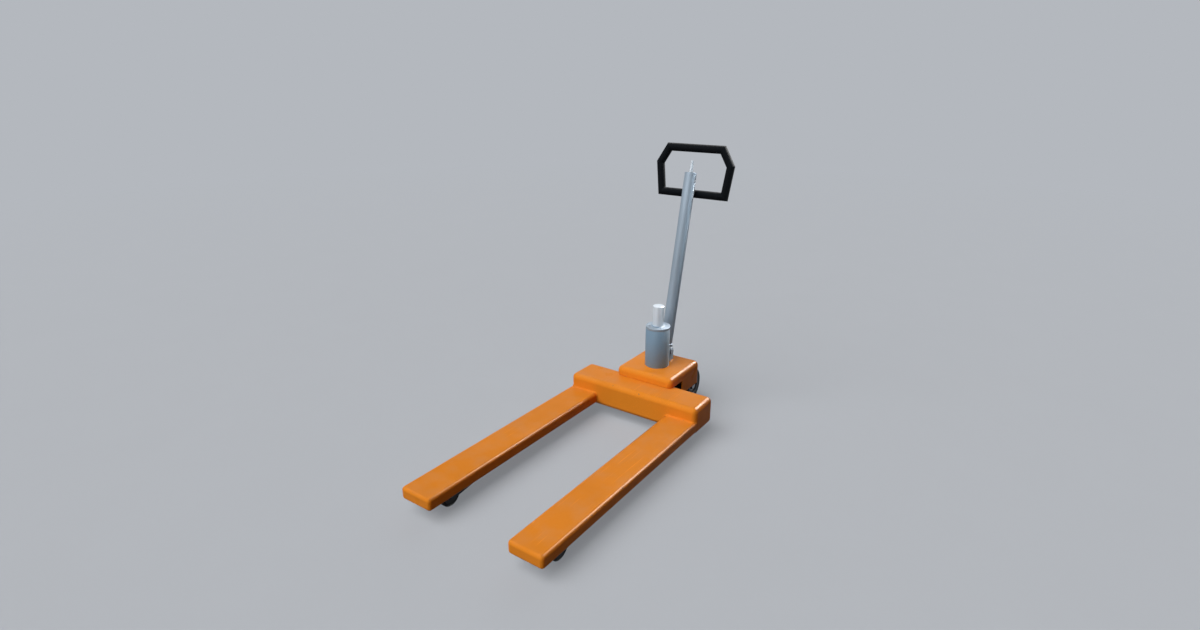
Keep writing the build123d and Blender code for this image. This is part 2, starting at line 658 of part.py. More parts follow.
with BuildPart() as cylinder_cap:
    bar(Plane.XY, (0, kingpin_y), cylinder_radius, (tube_top, cylinder_top))
    chamfer(cylinder_cap.edges().sort_by(Axis.Z)[-1], CAP_CHAMFER)
    bar(Plane.XY, (0, kingpin_y), bore_radius - FIT, (tube_top - CAP_SPIGOT, tube_top))
    ram_cut = (tube_top - CAP_SPIGOT - OVERCUT, cylinder_top + OVERCUT)
    bar(Plane.XY, (0, kingpin_y), ram_radius + FIT, ram_cut, Mode.SUBTRACT)
    with Locations((0, kingpin_y, cylinder_top)):
        with PolarLocations((ram_radius + cylinder_radius) / 2, SPANNER_HOLE_COUNT, start_angle=45):
            Cylinder(SPANNER_HOLE / 2, 2 * SPANNER_HOLE_DEPTH, mode=Mode.SUBTRACT)
keep(cylinder_cap, "cylinder_cap")

with BuildPart() as cylinder_bolts:
    head = CYLINDER_BOLT * BOLT_HEAD_RATIO
    for n in range(CYLINDER_BOLT_COUNT):
        spot = Vector(cylinder_bolt_circle, 0, 0).rotate(Axis.Z, n * 360 / CYLINDER_BOLT_COUNT)
        at = (spot.X, kingpin_y + spot.Y)
        shank = (housing_under, HOUSING_TOP + CYLINDER_BOLT_DEPTH - OVERCUT)
        bar(Plane.XY, at, CYLINDER_BOLT / 2, shank)
        hexagon(at, CYLINDER_BOLT * BOLT_ACROSS_RATIO, (housing_under - head, housing_under))
keep(cylinder_bolts, "cylinder_bolts")

# Handle clevis, two ears welded to the housing, and its pin
with BuildPart() as handle_clevis:
    for x in both(0, ear_inner_x, ear_outer_x):
        block(x, (pivot_y - CLEVIS_EAR_RADIUS, pivot_y + CLEVIS_EAR_RADIUS), (HOUSING_TOP, PIVOT_HEIGHT))
        bar(Plane.YZ, pivot_at, CLEVIS_EAR_RADIUS, x)
    span = (-ear_outer_x - OVERCUT, ear_outer_x + OVERCUT)
    bar(Plane.YZ, pivot_at, HANDLE_PIN_DIAMETER / 2 + FIT, span, Mode.SUBTRACT)
keep(handle_clevis, "handle_clevis")

with BuildPart() as handle_pin:
    bar(Plane.YZ, pivot_at, HANDLE_PIN_DIAMETER / 2, (-ear_outer_x, ear_outer_x))
    for x in both(0, ear_outer_x, ear_outer_x + HANDLE_PIN_HEAD):
        bar(Plane.YZ, pivot_at, HANDLE_PIN_HEAD_DIAMETER / 2, x)
keep(handle_pin, "handle_pin")

# Pump barrel, release valve and the guide sleeves under the housing
with BuildPart() as pump_barrel:
    bar(Plane.XY, (0, plunger_y), barrel_radius, (BARREL_BOTTOM, BARREL_TOP))
    bore = (BARREL_BOTTOM + BARREL_FLOOR, BARREL_TOP + OVERCUT)
    bar(Plane.XY, (0, plunger_y), PLUNGER_DIAMETER / 2 + FIT, bore, Mode.SUBTRACT)
keep(pump_barrel, "pump_barrel")

with BuildPart() as release_valve:
    valve_at = (VALVE_X, pivot_y)
    bar(Plane.XY, valve_at, VALVE_DIAMETER / 2, (housing_under - VALVE_HEIGHT, housing_under))
    stem_top = housing_under - VALVE_HEIGHT
    bar(Plane.XY, valve_at, VALVE_STEM_DIAMETER / 2, (stem_top - VALVE_STEM, stem_top))
keep(release_valve, "release_valve")

guides_at = [(sign * GUIDE_ROD_SPACING / 2, kingpin_y + GUIDE_ROD_SETBACK) for side, sign in SIDES]
guide_radius = GUIDE_ROD_DIAMETER / 2
with BuildPart() as guide_sleeves:
    for at in guides_at:
        outer = guide_radius + FIT + GUIDE_SLEEVE_WALL
        ring(Plane.XY, at, outer, guide_radius + FIT, (GUIDE_SLEEVE_BOTTOM, housing_under))
keep(guide_sleeves, "guide_sleeves")

# Ram, piston and what hangs on the ram's lower end
spigot_radius = RAM_SPIGOT_DIAMETER / 2
with BuildPart() as lift_ram:
    bar(Plane.XY, (0, kingpin_y), ram_radius, (collar_top, cylinder_top + RAM_REACH))
    chamfer(lift_ram.edges().sort_by(Axis.Z)[-1], RAM_CHAMFER)
    bar(Plane.XY, (0, kingpin_y), spigot_radius, (carriage_bottom - RAM_NUT_HEIGHT, collar_top))
keep(lift_ram, "lift_ram")

with BuildPart() as ram_piston:
    piston = (piston_top - PISTON_HEIGHT, piston_top)
    ring(Plane.XY, (0, kingpin_y), bore_radius - PISTON_FIT, ram_radius + FIT, piston)
keep(ram_piston, "ram_piston")

with BuildPart() as groove_collar:
    collar_bore = spigot_radius + FIT
    ring(Plane.XY, (0, kingpin_y), COLLAR_CORE_DIAMETER / 2, collar_bore, (carriage_top, collar_top))
    for z in ((carriage_top, groove_bottom), (groove_top, collar_top)):
        ring(Plane.XY, (0, kingpin_y), collar_radius, collar_bore, z)
keep(groove_collar, "groove_collar")

half_carriage = CARRIAGE_WIDTH / 2
axle_eye = AXLE_DIAMETER / 2 + CARRIAGE_EYE_WALL
with BuildPart() as axle_carriage:
    half_depth = CARRIAGE_HEIGHT / 2
    carriage_middle = (carriage_top + carriage_bottom) / 2
    trunk_front = (kingpin_y - collar_radius + half_depth, carriage_middle)
    trunk_back = (kingpin_y + collar_radius + half_depth, carriage_middle)
    sides = (-half_carriage, half_carriage)
    link(Plane.YZ, trunk_front, half_depth, trunk_back, half_depth, sides)
    link(Plane.YZ, trunk_back, half_depth, axle_at, axle_eye, sides)
    through = (carriage_bottom - OVERCUT, carriage_top + OVERCUT)
    bar(Plane.XY, (0, kingpin_y), spigot_radius + FIT, through, Mode.SUBTRACT)
    axle_cut = (-half_carriage - OVERCUT, half_carriage + OVERCUT)
    bar(Plane.YZ, axle_at, AXLE_DIAMETER / 2 + FIT, axle_cut, Mode.SUBTRACT)
    for at in guides_at:
        bar(Plane.XY, at, guide_radius + FIT, (carriage_middle, GUIDE_SLEEVE_BOTTOM), Mode.SUBTRACT)
keep(axle_carriage, "axle_carriage")

with BuildPart() as ram_nut:
    hexagon((0, kingpin_y), RAM_NUT_ACROSS, (carriage_bottom - RAM_NUT_HEIGHT, carriage_bottom))
    nut_cut = (carriage_bottom - RAM_NUT_HEIGHT - OVERCUT, carriage_bottom + OVERCUT)
    bar(Plane.XY, (0, kingpin_y), spigot_radius + FIT, nut_cut, Mode.SUBTRACT)
keep(ram_nut, "ram_nut")

with BuildPart() as guide_rods:
    for at in guides_at:
        bar(Plane.XY, at, guide_radius, (carriage_middle, housing_under - GUIDE_ROD_HEADROOM))
keep(guide_rods, "guide_rods")

# Steering axle with a shoulder between the carriage and each wheel
cap_start = wheel_outer_x + SIDE_GAP
with BuildPart() as steer_axle:
    bar(Plane.YZ, axle_at, AXLE_DIAMETER / 2, (-cap_start - AXLE_CAP_LENGTH, cap_start + AXLE_CAP_LENGTH))
    for x in both(0, half_carriage, wheel_inner_x - SIDE_GAP):
        bar(Plane.YZ, axle_at, AXLE_SHOULDER_DIAMETER / 2, x)
keep(steer_axle, "steer_axle")

with BuildPart() as axle_caps:
    for x in both(0, cap_start, cap_start + AXLE_CAP_LENGTH):
        ring(Plane.YZ, axle_at, AXLE_CAP_DIAMETER / 2, AXLE_DIAMETER / 2 + FIT, x)
keep(axle_caps, "axle_caps")

# Steering wheels: tyre, hub and two bearings each
tread_inside = WHEEL_DIAMETER / 2 - TREAD_DEPTH
bearing_radius = BEARING_DIAMETER / 2
for side, sign in SIDES:
    face = (sign * WHEEL_TRACK - WHEEL_WIDTH) / 2
    width = (face, face + WHEEL_WIDTH)
    middle = sign * WHEEL_TRACK / 2
    with BuildPart() as tyre:
        ring(Plane.YZ, axle_at, WHEEL_DIAMETER / 2, tread_inside, width)
        rims = tyre.edges().filter_by(GeomType.CIRCLE).group_by(SortBy.RADIUS)[-1]
        fillet(rims, TREAD_EDGE)
    keep(tyre, f"steer_tyre_{side}")

    with BuildPart() as hub:
        web = (middle - HUB_WEB / 2, middle + HUB_WEB / 2)
        ring(Plane.YZ, axle_at, tread_inside - FIT, tread_inside - HUB_RIM, width)
        ring(Plane.YZ, axle_at, tread_inside - FIT, bearing_radius + FIT, web)
        ring(Plane.YZ, axle_at, bearing_radius + HUB_BOSS_WALL, bearing_radius + FIT, width)
    keep(hub, f"steer_hub_{side}")

    with BuildPart() as bearings:
        for x in ((face, face + BEARING_WIDTH), (face + WHEEL_WIDTH - BEARING_WIDTH, face + WHEEL_WIDTH)):
            ring(Plane.YZ, axle_at, bearing_radius, AXLE_DIAMETER / 2 + FIT, x)
    keep(bearings, f"steer_bearings_{side}")

# Rocker: cross shaft, forked lever to the collar and a crank for each fork
with BuildPart() as rocker_shaft:
    bar(Plane.YZ, rocker_at, ROCKER_SHAFT_DIAMETER / 2, (-shaft_end, shaft_end))
keep(rocker_shaft, "rocker_shaft")

with BuildPart() as rocker_lever:
    for x in both(0, lever_inner_x, lever_outer_x):
        link(Plane.YZ, rocker_at, LEVER_HUB_RADIUS, lever_pin_at, LEVER_EYE_RADIUS, x)
    for x in both(0, COLLAR_CORE_DIAMETER / 2 + LEVER_PIN_GAP, lever_inner_x):
        bar(Plane.YZ, lever_pin_at, LEVER_PIN_DIAMETER / 2, x)
    bar(Plane.YZ, rocker_at, LEVER_HUB_RADIUS, (-lever_outer_x, lever_outer_x))
    hub_cut = (-lever_outer_x - OVERCUT, lever_outer_x + OVERCUT)
    bar(Plane.YZ, rocker_at, ROCKER_SHAFT_DIAMETER / 2 + FIT, hub_cut, Mode.SUBTRACT)
keep(rocker_lever, "rocker_lever")

half_crank = CRANK_THICKNESS / 2
cheek_start = half_crank + SIDE_GAP
cheek_end = cheek_start + LINK_CHEEK
with BuildPart() as crank_arms:
    for side, sign in SIDES:
        middle = sign * fork_x
        link(
            Plane.YZ, rocker_at, CRANK_HUB_RADIUS, crank_pin_at, LINK_EYE_RADIUS,
            (middle - half_crank, middle + half_crank),
        )
        pin_half = cheek_end + SIDE_GAP
        bar(Plane.YZ, crank_pin_at, LINK_PIN_DIAMETER / 2, (middle - pin_half, middle + pin_half))
        hub = (middle - CRANK_HUB_WIDTH / 2, middle + CRANK_HUB_WIDTH / 2)
        bar(Plane.YZ, rocker_at, CRANK_HUB_RADIUS, hub)
        bore = (hub[0] - OVERCUT, hub[1] + OVERCUT)
        bar(Plane.YZ, rocker_at, ROCKER_SHAFT_DIAMETER / 2 + FIT, bore, Mode.SUBTRACT)
keep(crank_arms, "crank_arms")

# Push rods: a clevis at the crank, an eye at the roller arm
half_eye = ROD_EYE_THICKNESS / 2
lug_start = half_eye + SIDE_GAP
lug_end = lug_start + LINK_CHEEK
bridge_y = crank_pin_at[0] - CLEVIS_REACH
for side, sign in SIDES:
    middle = sign * fork_x
    rod_plane = Plane(
        origin=(middle, *lug_pin_at),
        z_dir=(0, bridge_y - lug_pin_at[0], crank_pin_at[1] - lug_pin_at[1]),
    )
    rod_length = hypot(bridge_y - lug_pin_at[0], crank_pin_at[1] - lug_pin_at[1])
    with BuildPart() as push_rod:
        bar(rod_plane, (0, 0), ROD_DIAMETER / 2, (LINK_PIN_DIAMETER / 2, rod_length))
        bar(Plane.YZ, lug_pin_at, LINK_EYE_RADIUS, (middle - half_eye, middle + half_eye))
        for x in both(middle, cheek_start, cheek_end):
            link(Plane.YZ, crank_pin_at, LINK_EYE_RADIUS, (bridge_y, crank_pin_at[1]), LINK_EYE_RADIUS, x)
        block(
            (middle - cheek_end, middle + cheek_end),
            (bridge_y - CLEVIS_BRIDGE / 2, bridge_y + CLEVIS_BRIDGE / 2),
            (crank_pin_at[1] - LINK_EYE_RADIUS, crank_pin_at[1] + LINK_EYE_RADIUS),
        )
        upright_slot(crank_pin_at, (middle - cheek_end - OVERCUT, middle + cheek_end + OVERCUT))
        upright_slot(lug_pin_at, (middle - half_eye - OVERCUT, middle + half_eye + OVERCUT))
    keep(push_rod, f"push_rod_{side}")

# Roller arms: two plates, a pivot tube, a web and the lug that the push rod works
half_roller = ROLLER_WIDTH / 2
plate_inner = half_roller + SIDE_GAP
plate_outer = plate_inner + ARM_PLATE
arm_plane = Plane(
    origin=(0, *arm_pivot_at),
    x_dir=(1, 0, 0),
    z_dir=(0, roller_y - arm_pivot_y, roller_z - ARM_PIVOT_HEIGHT),
)
for side, sign in SIDES:
    middle = sign * fork_x
    with BuildPart() as roller_arm:
        for x in both(middle, plate_inner, plate_outer):
            link(Plane.YZ, arm_pivot_at, ARM_PIVOT_RADIUS, roller_at, ARM_AXLE_RADIUS, x)
        bar(Plane.YZ, arm_pivot_at, ARM_TUBE_RADIUS, (middle - plate_inner, middle + plate_inner))
        for x in both(middle, lug_start, lug_end):
            link(Plane.YZ, arm_pivot_at, ARM_TUBE_RADIUS, lug_pin_at, LINK_EYE_RADIUS, x)
        bar(Plane.YZ, lug_pin_at, LINK_PIN_DIAMETER / 2, (middle - lug_end, middle + lug_end))
        with BuildSketch(arm_plane.offset(ARM_WEB_START)):
            with Locations((middle, 0)):
                Rectangle(2 * plate_inner, ARM_WEB)
        extrude(amount=ARM_WEB_END - ARM_WEB_START)
        bore = (middle - plate_outer - OVERCUT, middle + plate_outer + OVERCUT)
        bar(Plane.YZ, arm_pivot_at, ARM_PIN_DIAMETER / 2 + FIT, bore, Mode.SUBTRACT)
        bar(Plane.YZ, roller_at, ROLLER_AXLE_DIAMETER / 2 + FIT, bore, Mode.SUBTRACT)
    keep(roller_arm, f"roller_arm_{side}")

    with BuildPart() as roller_axle:
        reach = plate_outer + AXLE_END
        bar(Plane.YZ, roller_at, ROLLER_AXLE_DIAMETER / 2, (middle - reach, middle + reach))
    keep(roller_axle, f"roller_axle_{side}")

    width = (middle - half_roller, middle + half_roller)
    core_radius = roller_z - ROLLER_TREAD
    with BuildPart() as roller_tyre:
        ring(Plane.YZ, roller_at, roller_z, core_radius, width)
        rims = roller_tyre.edges().filter_by(GeomType.CIRCLE).group_by(SortBy.RADIUS)[-1]
        fillet(rims, ROLLER_EDGE)
    keep(roller_tyre, f"roller_tyre_{side}")

    with BuildPart() as roller_core:
        ring(Plane.YZ, roller_at, core_radius - FIT, ROLLER_AXLE_DIAMETER / 2 + FIT, width)
    keep(roller_core, f"roller_core_{side}")

# Brackets and pins that hold the roller arms in the forks
bracket_inner = plate_outer + SIDE_GAP
bracket_outer = bracket_inner + BRACKET_PLATE
with BuildPart() as arm_brackets:
    for side, sign in SIDES:
        for x in both(sign * fork_x, bracket_inner, bracket_outer):
            block(
                x,
                (arm_pivot_y - BRACKET_WIDTH / 2, arm_pivot_y + BRACKET_WIDTH / 2),
                (BRACKET_BOTTOM, FORK_TOP - FORK_WALL),
            )
            bore = (x[0] - OVERCUT, x[1] + OVERCUT)
            bar(Plane.YZ, arm_pivot_at, ARM_PIN_DIAMETER / 2 + FIT, bore, Mode.SUBTRACT)
keep(arm_brackets, "arm_brackets")

with BuildPart() as arm_pins:
    for side, sign in SIDES:
        reach = bracket_outer + AXLE_END
        bar(Plane.YZ, arm_pivot_at, ARM_PIN_DIAMETER / 2, (sign * fork_x - reach, sign * fork_x + reach))
keep(arm_pins, "arm_pins")

# Handle foot: knuckle, neck, plug and the fork of the pump roller
rod_offset = -RELEASE_ARM
plug_radius = tube_radius - TUBE_WALL - FIT
half_pocket = PUMP_ROLLER_WIDTH / 2 + SIDE_GAP
half_knuckle = KNUCKLE_WIDTH / 2
with BuildPart() as handle_foot:
    bar(Plane.YZ, pivot_at, KNUCKLE_RADIUS, (-half_knuckle, half_knuckle))
    bar(handle_plane, (0, 0), FOOT_NECK_DIAMETER / 2, (0, TUBE_START))
    bar(handle_plane, (0, 0), tube_radius, (TUBE_START - FOOT_COLLAR, TUBE_START))
    bar(handle_plane, (0, 0), plug_radius, (TUBE_START, TUBE_START + TUBE_PLUG))
    for x in both(0, half_pocket, half_pocket + PUMP_EAR):
        link(Plane.YZ, pivot_at, KNUCKLE_RADIUS, pump_roller_at, PUMP_EAR_RADIUS, x)
    pocket = PUMP_ROLLER_DIAMETER / 2 + ROLLER_POCKET
    bar(Plane.YZ, pump_roller_at, pocket, (-half_pocket, half_pocket), Mode.SUBTRACT)
    knuckle_cut = (-half_knuckle - OVERCUT, half_knuckle + OVERCUT)
    bar(Plane.YZ, pivot_at, HANDLE_PIN_DIAMETER / 2 + FIT, knuckle_cut, Mode.SUBTRACT)
    bar(Plane.YZ, pump_roller_at, PUMP_PIN_DIAMETER / 2 + FIT, knuckle_cut, Mode.SUBTRACT)
    rod_cut = (RELEASE_ROD_START - 2 * SIDE_GAP, TUBE_START + TUBE_PLUG + OVERCUT)
    bar(handle_plane, (0, rod_offset), RELEASE_ROD_DIAMETER / 2 + FIT, rod_cut, Mode.SUBTRACT)
keep(handle_foot, "handle_foot")

with BuildPart() as pump_roller:
    width = (-PUMP_ROLLER_WIDTH / 2, PUMP_ROLLER_WIDTH / 2)
    ring(Plane.YZ, pump_roller_at, PUMP_ROLLER_DIAMETER / 2, PUMP_PIN_DIAMETER / 2 + FIT, width)
keep(pump_roller, "pump_roller")

with BuildPart() as pump_roller_pin:
    reach = half_pocket + PUMP_EAR
    bar(Plane.YZ, pump_roller_at, PUMP_PIN_DIAMETER / 2, (-reach, reach))
keep(pump_roller_pin, "pump_roller_pin")

# Pump plunger and its return spring in the barrel
plunger_bottom = plunger_top - PLUNGER_LENGTH
with BuildPart() as pump_plunger:
    bar(Plane.XY, (0, plunger_y), PLUNGER_DIAMETER / 2, (plunger_bottom, plunger_top))
keep(pump_plunger, "pump_plunger")

coil_radius = PLUNGER_DIAMETER / 2 + FIT - SPRING_GAP - SPRING_WIRE / 2
coil_start = BARREL_BOTTOM + BARREL_FLOOR + SPRING_GAP + SPRING_WIRE / 2
coil_pitch = (plunger_bottom - SPRING_GAP - SPRING_WIRE / 2 - coil_start) / SPRING_TURNS
with BuildPart() as pump_spring:
    with BuildLine() as coil:
        for quarter in range(4 * SPRING_TURNS):
            quarter_of_coil(quarter)
    with BuildSketch(coil.line ^ 0):
        Circle(SPRING_WIRE / 2)
    sweep()
print(f"spring: {coil_pitch - SPRING_WIRE:.2f} between neighbouring turns")
keep(pump_spring, "pump_spring")

# Handle tube, cap and lever pin
release_at = handle_plane.from_local_coords((0, 0, release_z))
release_at = (release_at.Y, release_at.Z)
with BuildPart() as handle_tube:
    ring(handle_plane, (0, 0), tube_radius, tube_radius - TUBE_WALL, (TUBE_START, HANDLE_LENGTH))
    span = (-tube_radius - OVERCUT, tube_radius + OVERCUT)
    bar(Plane.YZ, release_at, RELEASE_PIN_DIAMETER / 2 + FIT, span, Mode.SUBTRACT)
keep(handle_tube, "handle_tube")

lever_slot_width = RELEASE_DIAMETER + 2 * SIDE_GAP
slot_back = RELEASE_PIVOT * sin(radians(RELEASE_PULL)) + lever_slot_width / 2
slot_front = RELEASE_PIVOT * sin(radians(RELEASE_PUSH)) + lever_slot_width / 2
with BuildPart() as tube_cap:
    bar(handle_plane, (0, 0), plug_radius, (HANDLE_LENGTH - CAP_RING, HANDLE_LENGTH))
    with BuildSketch(handle_plane.offset(HANDLE_LENGTH - CAP_RING - OVERCUT)):
        with Locations((0, -slot_front)):
            Rectangle(lever_slot_width, slot_front + slot_back, align=(Align.CENTER, Align.MIN))
    extrude(amount=CAP_RING + 2 * OVERCUT, mode=Mode.SUBTRACT)
keep(tube_cap, "tube_cap")

with BuildPart() as lever_pin:
    bar(Plane.YZ, release_at, RELEASE_PIN_DIAMETER / 2, (-tube_radius, tube_radius))
keep(lever_pin, "lever_pin")

# Grip loop: round bars mitred to a hexagon, held behind the tube by a saddle
with BuildPart() as grip_loop:
    with BuildLine(loop_plane) as loop_path:
        Polyline(
            (0, 0),
            (LOOP_BASE / 2, 0),
            (LOOP_SPAN / 2, LOOP_SHOULDER),
            (LOOP_HEAD / 2, LOOP_HEIGHT),
            (-LOOP_HEAD / 2, LOOP_HEIGHT),
            (-LOOP_SPAN / 2, LOOP_SHOULDER),
            (-LOOP_BASE / 2, 0),
            close=True,
        )
    with BuildSketch(loop_path.line ^ 0):
        Circle(loop_radius)
    sweep(transition=Transition.RIGHT)
keep(grip_loop, "grip_loop")

with BuildPart() as loop_saddle:
    with BuildSketch(handle_plane.offset(loop_z - SADDLE_HEIGHT / 2)):
        Rectangle(SADDLE_WIDTH, loop_offset, align=(Align.CENTER, Align.MIN))
    extrude(amount=SADDLE_HEIGHT)
    bar(handle_plane, (0, 0), tube_radius + FIT, (TUBE_START, HANDLE_LENGTH), Mode.SUBTRACT)
    loop_at = (loop_plane.origin.Y, loop_plane.origin.Z)
    bar(Plane.YZ, loop_at, loop_radius + FIT, (-LOOP_BASE / 2, LOOP_BASE / 2), Mode.SUBTRACT)
keep(loop_saddle, "loop_saddle")

# Release lever in the top of the tube and the rod that it draws up
link_at = handle_plane.from_local_coords((0, rod_offset, release_z))
link_at = (link_at.Y, link_at.Z)
half_boss = RELEASE_BOSS_WIDTH / 2
half_rod_eye = RELEASE_ROD_EYE / 2
arm_start = half_rod_eye + SIDE_GAP
with BuildPart() as release_lever:
    bar(Plane.YZ, release_at, RELEASE_BOSS_RADIUS, (-half_boss, half_boss))
    bar(handle_plane, (0, 0), RELEASE_DIAMETER / 2, (release_z, HANDLE_LENGTH))
    with BuildSketch(handle_plane.offset(HANDLE_LENGTH)):
        Circle(RELEASE_DIAMETER / 2)
    with BuildSketch(handle_plane.offset(HANDLE_LENGTH + RELEASE_REACH)):
        Circle(RELEASE_TIP_DIAMETER / 2)
    loft()
    fillet(release_lever.edges().sort_by(Axis.Z)[-1], RELEASE_TIP_DIAMETER / 4)
    with BuildSketch(handle_plane.offset(release_z - RELEASE_BOSS_RADIUS - OVERCUT)):
        Rectangle(2 * arm_start, RELEASE_BOSS_RADIUS + OVERCUT, align=(Align.CENTER, Align.MAX))
    extrude(amount=2 * RELEASE_BOSS_RADIUS, mode=Mode.SUBTRACT)
    for x in both(0, arm_start, arm_start + RELEASE_ARM_CHEEK):
        link(Plane.YZ, release_at, RELEASE_LINK_EYE, link_at, RELEASE_LINK_EYE, x)
    pin_reach = arm_start + RELEASE_ARM_CHEEK
    bar(Plane.YZ, link_at, RELEASE_LINK_PIN / 2, (-pin_reach, pin_reach))
    boss_cut = (-half_boss - OVERCUT, half_boss + OVERCUT)
    bar(Plane.YZ, release_at, RELEASE_PIN_DIAMETER / 2 + FIT, boss_cut, Mode.SUBTRACT)
keep(release_lever, "release_lever")

with BuildPart() as release_rod:
    flat_start = release_z - 2 * RELEASE_BOSS_RADIUS
    bar(handle_plane, (0, rod_offset), RELEASE_ROD_DIAMETER / 2, (RELEASE_ROD_START, flat_start))
    flat_at = handle_plane.from_local_coords((0, rod_offset, flat_start))
    flat_sides = (-half_rod_eye, half_rod_eye)
    link(Plane.YZ, (flat_at.Y, flat_at.Z), RELEASE_ROD_DIAMETER / 2, link_at, RELEASE_LINK_EYE, flat_sides)
    eye_cut = (-half_rod_eye - OVERCUT, half_rod_eye + OVERCUT)
    bar(Plane.YZ, link_at, RELEASE_LINK_PIN / 2 + RELEASE_LINK_PLAY, eye_cut, Mode.SUBTRACT)
keep(release_rod, "release_rod")

print(f"heel y {heel_y:.4f}, fork middles x {fork_x:.2f}, crossbar back y {back_y:.4f}")
print(f"steering axis y {kingpin_y:.4f}, steering axle y {axle_y:.4f} z {axle_z:.2f}")
print(f"rocker y {rocker_y:.4f} z {ROCKER_HEIGHT:.2f}, swing {degrees(rocker_swing):.4f} degrees")
print(f"arm pivot y {arm_pivot_y:.4f} z {ARM_PIVOT_HEIGHT:.2f}, swing {degrees(arm_swing):.4f} degrees")
print(f"load roller y {roller_y:.4f} z {roller_z:.2f}, push rod travel {rod_travel:.4f}")
print(f"handle pivot y {pivot_y:.4f} z {PIVOT_HEIGHT:.2f}, plunger travel {plunger_travel:.4f}")
print(f"pump roller y {pump_roller_at[0]:.4f} z {pump_roller_at[1]:.4f}")
print(f"release pivot y {release_at[0]:.4f} z {release_at[1]:.4f}")
print(f"loop lower bar y {loop_at[0]:.4f} z {loop_at[1]:.4f}")
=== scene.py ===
import json
from math import cos, pi, radians, sin, sqrt

import bpy
import bmesh
from mathutils import Matrix, Vector


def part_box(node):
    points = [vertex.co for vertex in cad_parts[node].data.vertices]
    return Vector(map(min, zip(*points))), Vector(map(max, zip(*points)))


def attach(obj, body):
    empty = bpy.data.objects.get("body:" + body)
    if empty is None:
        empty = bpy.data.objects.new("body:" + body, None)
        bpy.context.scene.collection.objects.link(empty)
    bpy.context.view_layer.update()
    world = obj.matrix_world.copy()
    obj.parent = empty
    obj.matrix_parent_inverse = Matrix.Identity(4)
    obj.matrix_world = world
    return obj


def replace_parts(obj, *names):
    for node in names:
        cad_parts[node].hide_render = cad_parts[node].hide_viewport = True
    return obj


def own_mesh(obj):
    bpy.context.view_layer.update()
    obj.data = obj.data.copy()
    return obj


# Looks of a hand pallet truck, in metres: forks towards -Y, handle at +Y, left at +X.

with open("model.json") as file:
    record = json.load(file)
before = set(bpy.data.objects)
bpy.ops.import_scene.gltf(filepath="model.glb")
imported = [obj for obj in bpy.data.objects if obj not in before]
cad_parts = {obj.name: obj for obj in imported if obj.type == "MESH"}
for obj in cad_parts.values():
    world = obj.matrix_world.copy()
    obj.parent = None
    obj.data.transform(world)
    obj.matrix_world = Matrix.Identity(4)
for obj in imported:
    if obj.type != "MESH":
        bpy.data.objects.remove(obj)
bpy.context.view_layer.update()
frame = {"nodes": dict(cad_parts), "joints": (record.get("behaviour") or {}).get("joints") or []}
nodes = frame["nodes"]
joints = {joint["name"]: joint for joint in frame["joints"]}

MM = 0.001
SIDES = ("left", "right")
X, Y, Z = Vector((1, 0, 0)), Vector((0, 1, 0)), Vector((0, 0, 1))


def middle(node):
    """The middle of a node's box."""
    low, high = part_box(node)
    return (low + high) / 2


def half_width(node):
    """Half of a node's size along X."""
    low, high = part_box(node)
    return (high.x - low.x) / 2


def half_height(node):
    """Half of a node's size along Z."""
    low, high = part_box(node)
    return (high.z - low.z) / 2


def add(name, data):
    """Put an object with this data in the scene."""
    made = bpy.data.objects.new(name, data)
    bpy.context.scene.collection.objects.link(made)
    return made


def srgb(red, green, blue):
    """A colour given in 8-bit screen values, as the linear one that shaders take."""
    def linear(value):
        share = value / 255
        return share / 12.92 if share <= 0.04045 else ((share + 0.055) / 1.055) ** 2.4
    return (linear(red), linear(green), linear(blue), 1.0)


def tinted(colour, factor):
    """The same colour, lighter or darker."""
    return tuple(min(1.0, value * factor) for value in colour[:3]) + (1.0,)


# Materials

# The colour sockets of a mix node
MIX_FIRST = 6
MIX_SECOND = 7
MIX_RESULT = 2


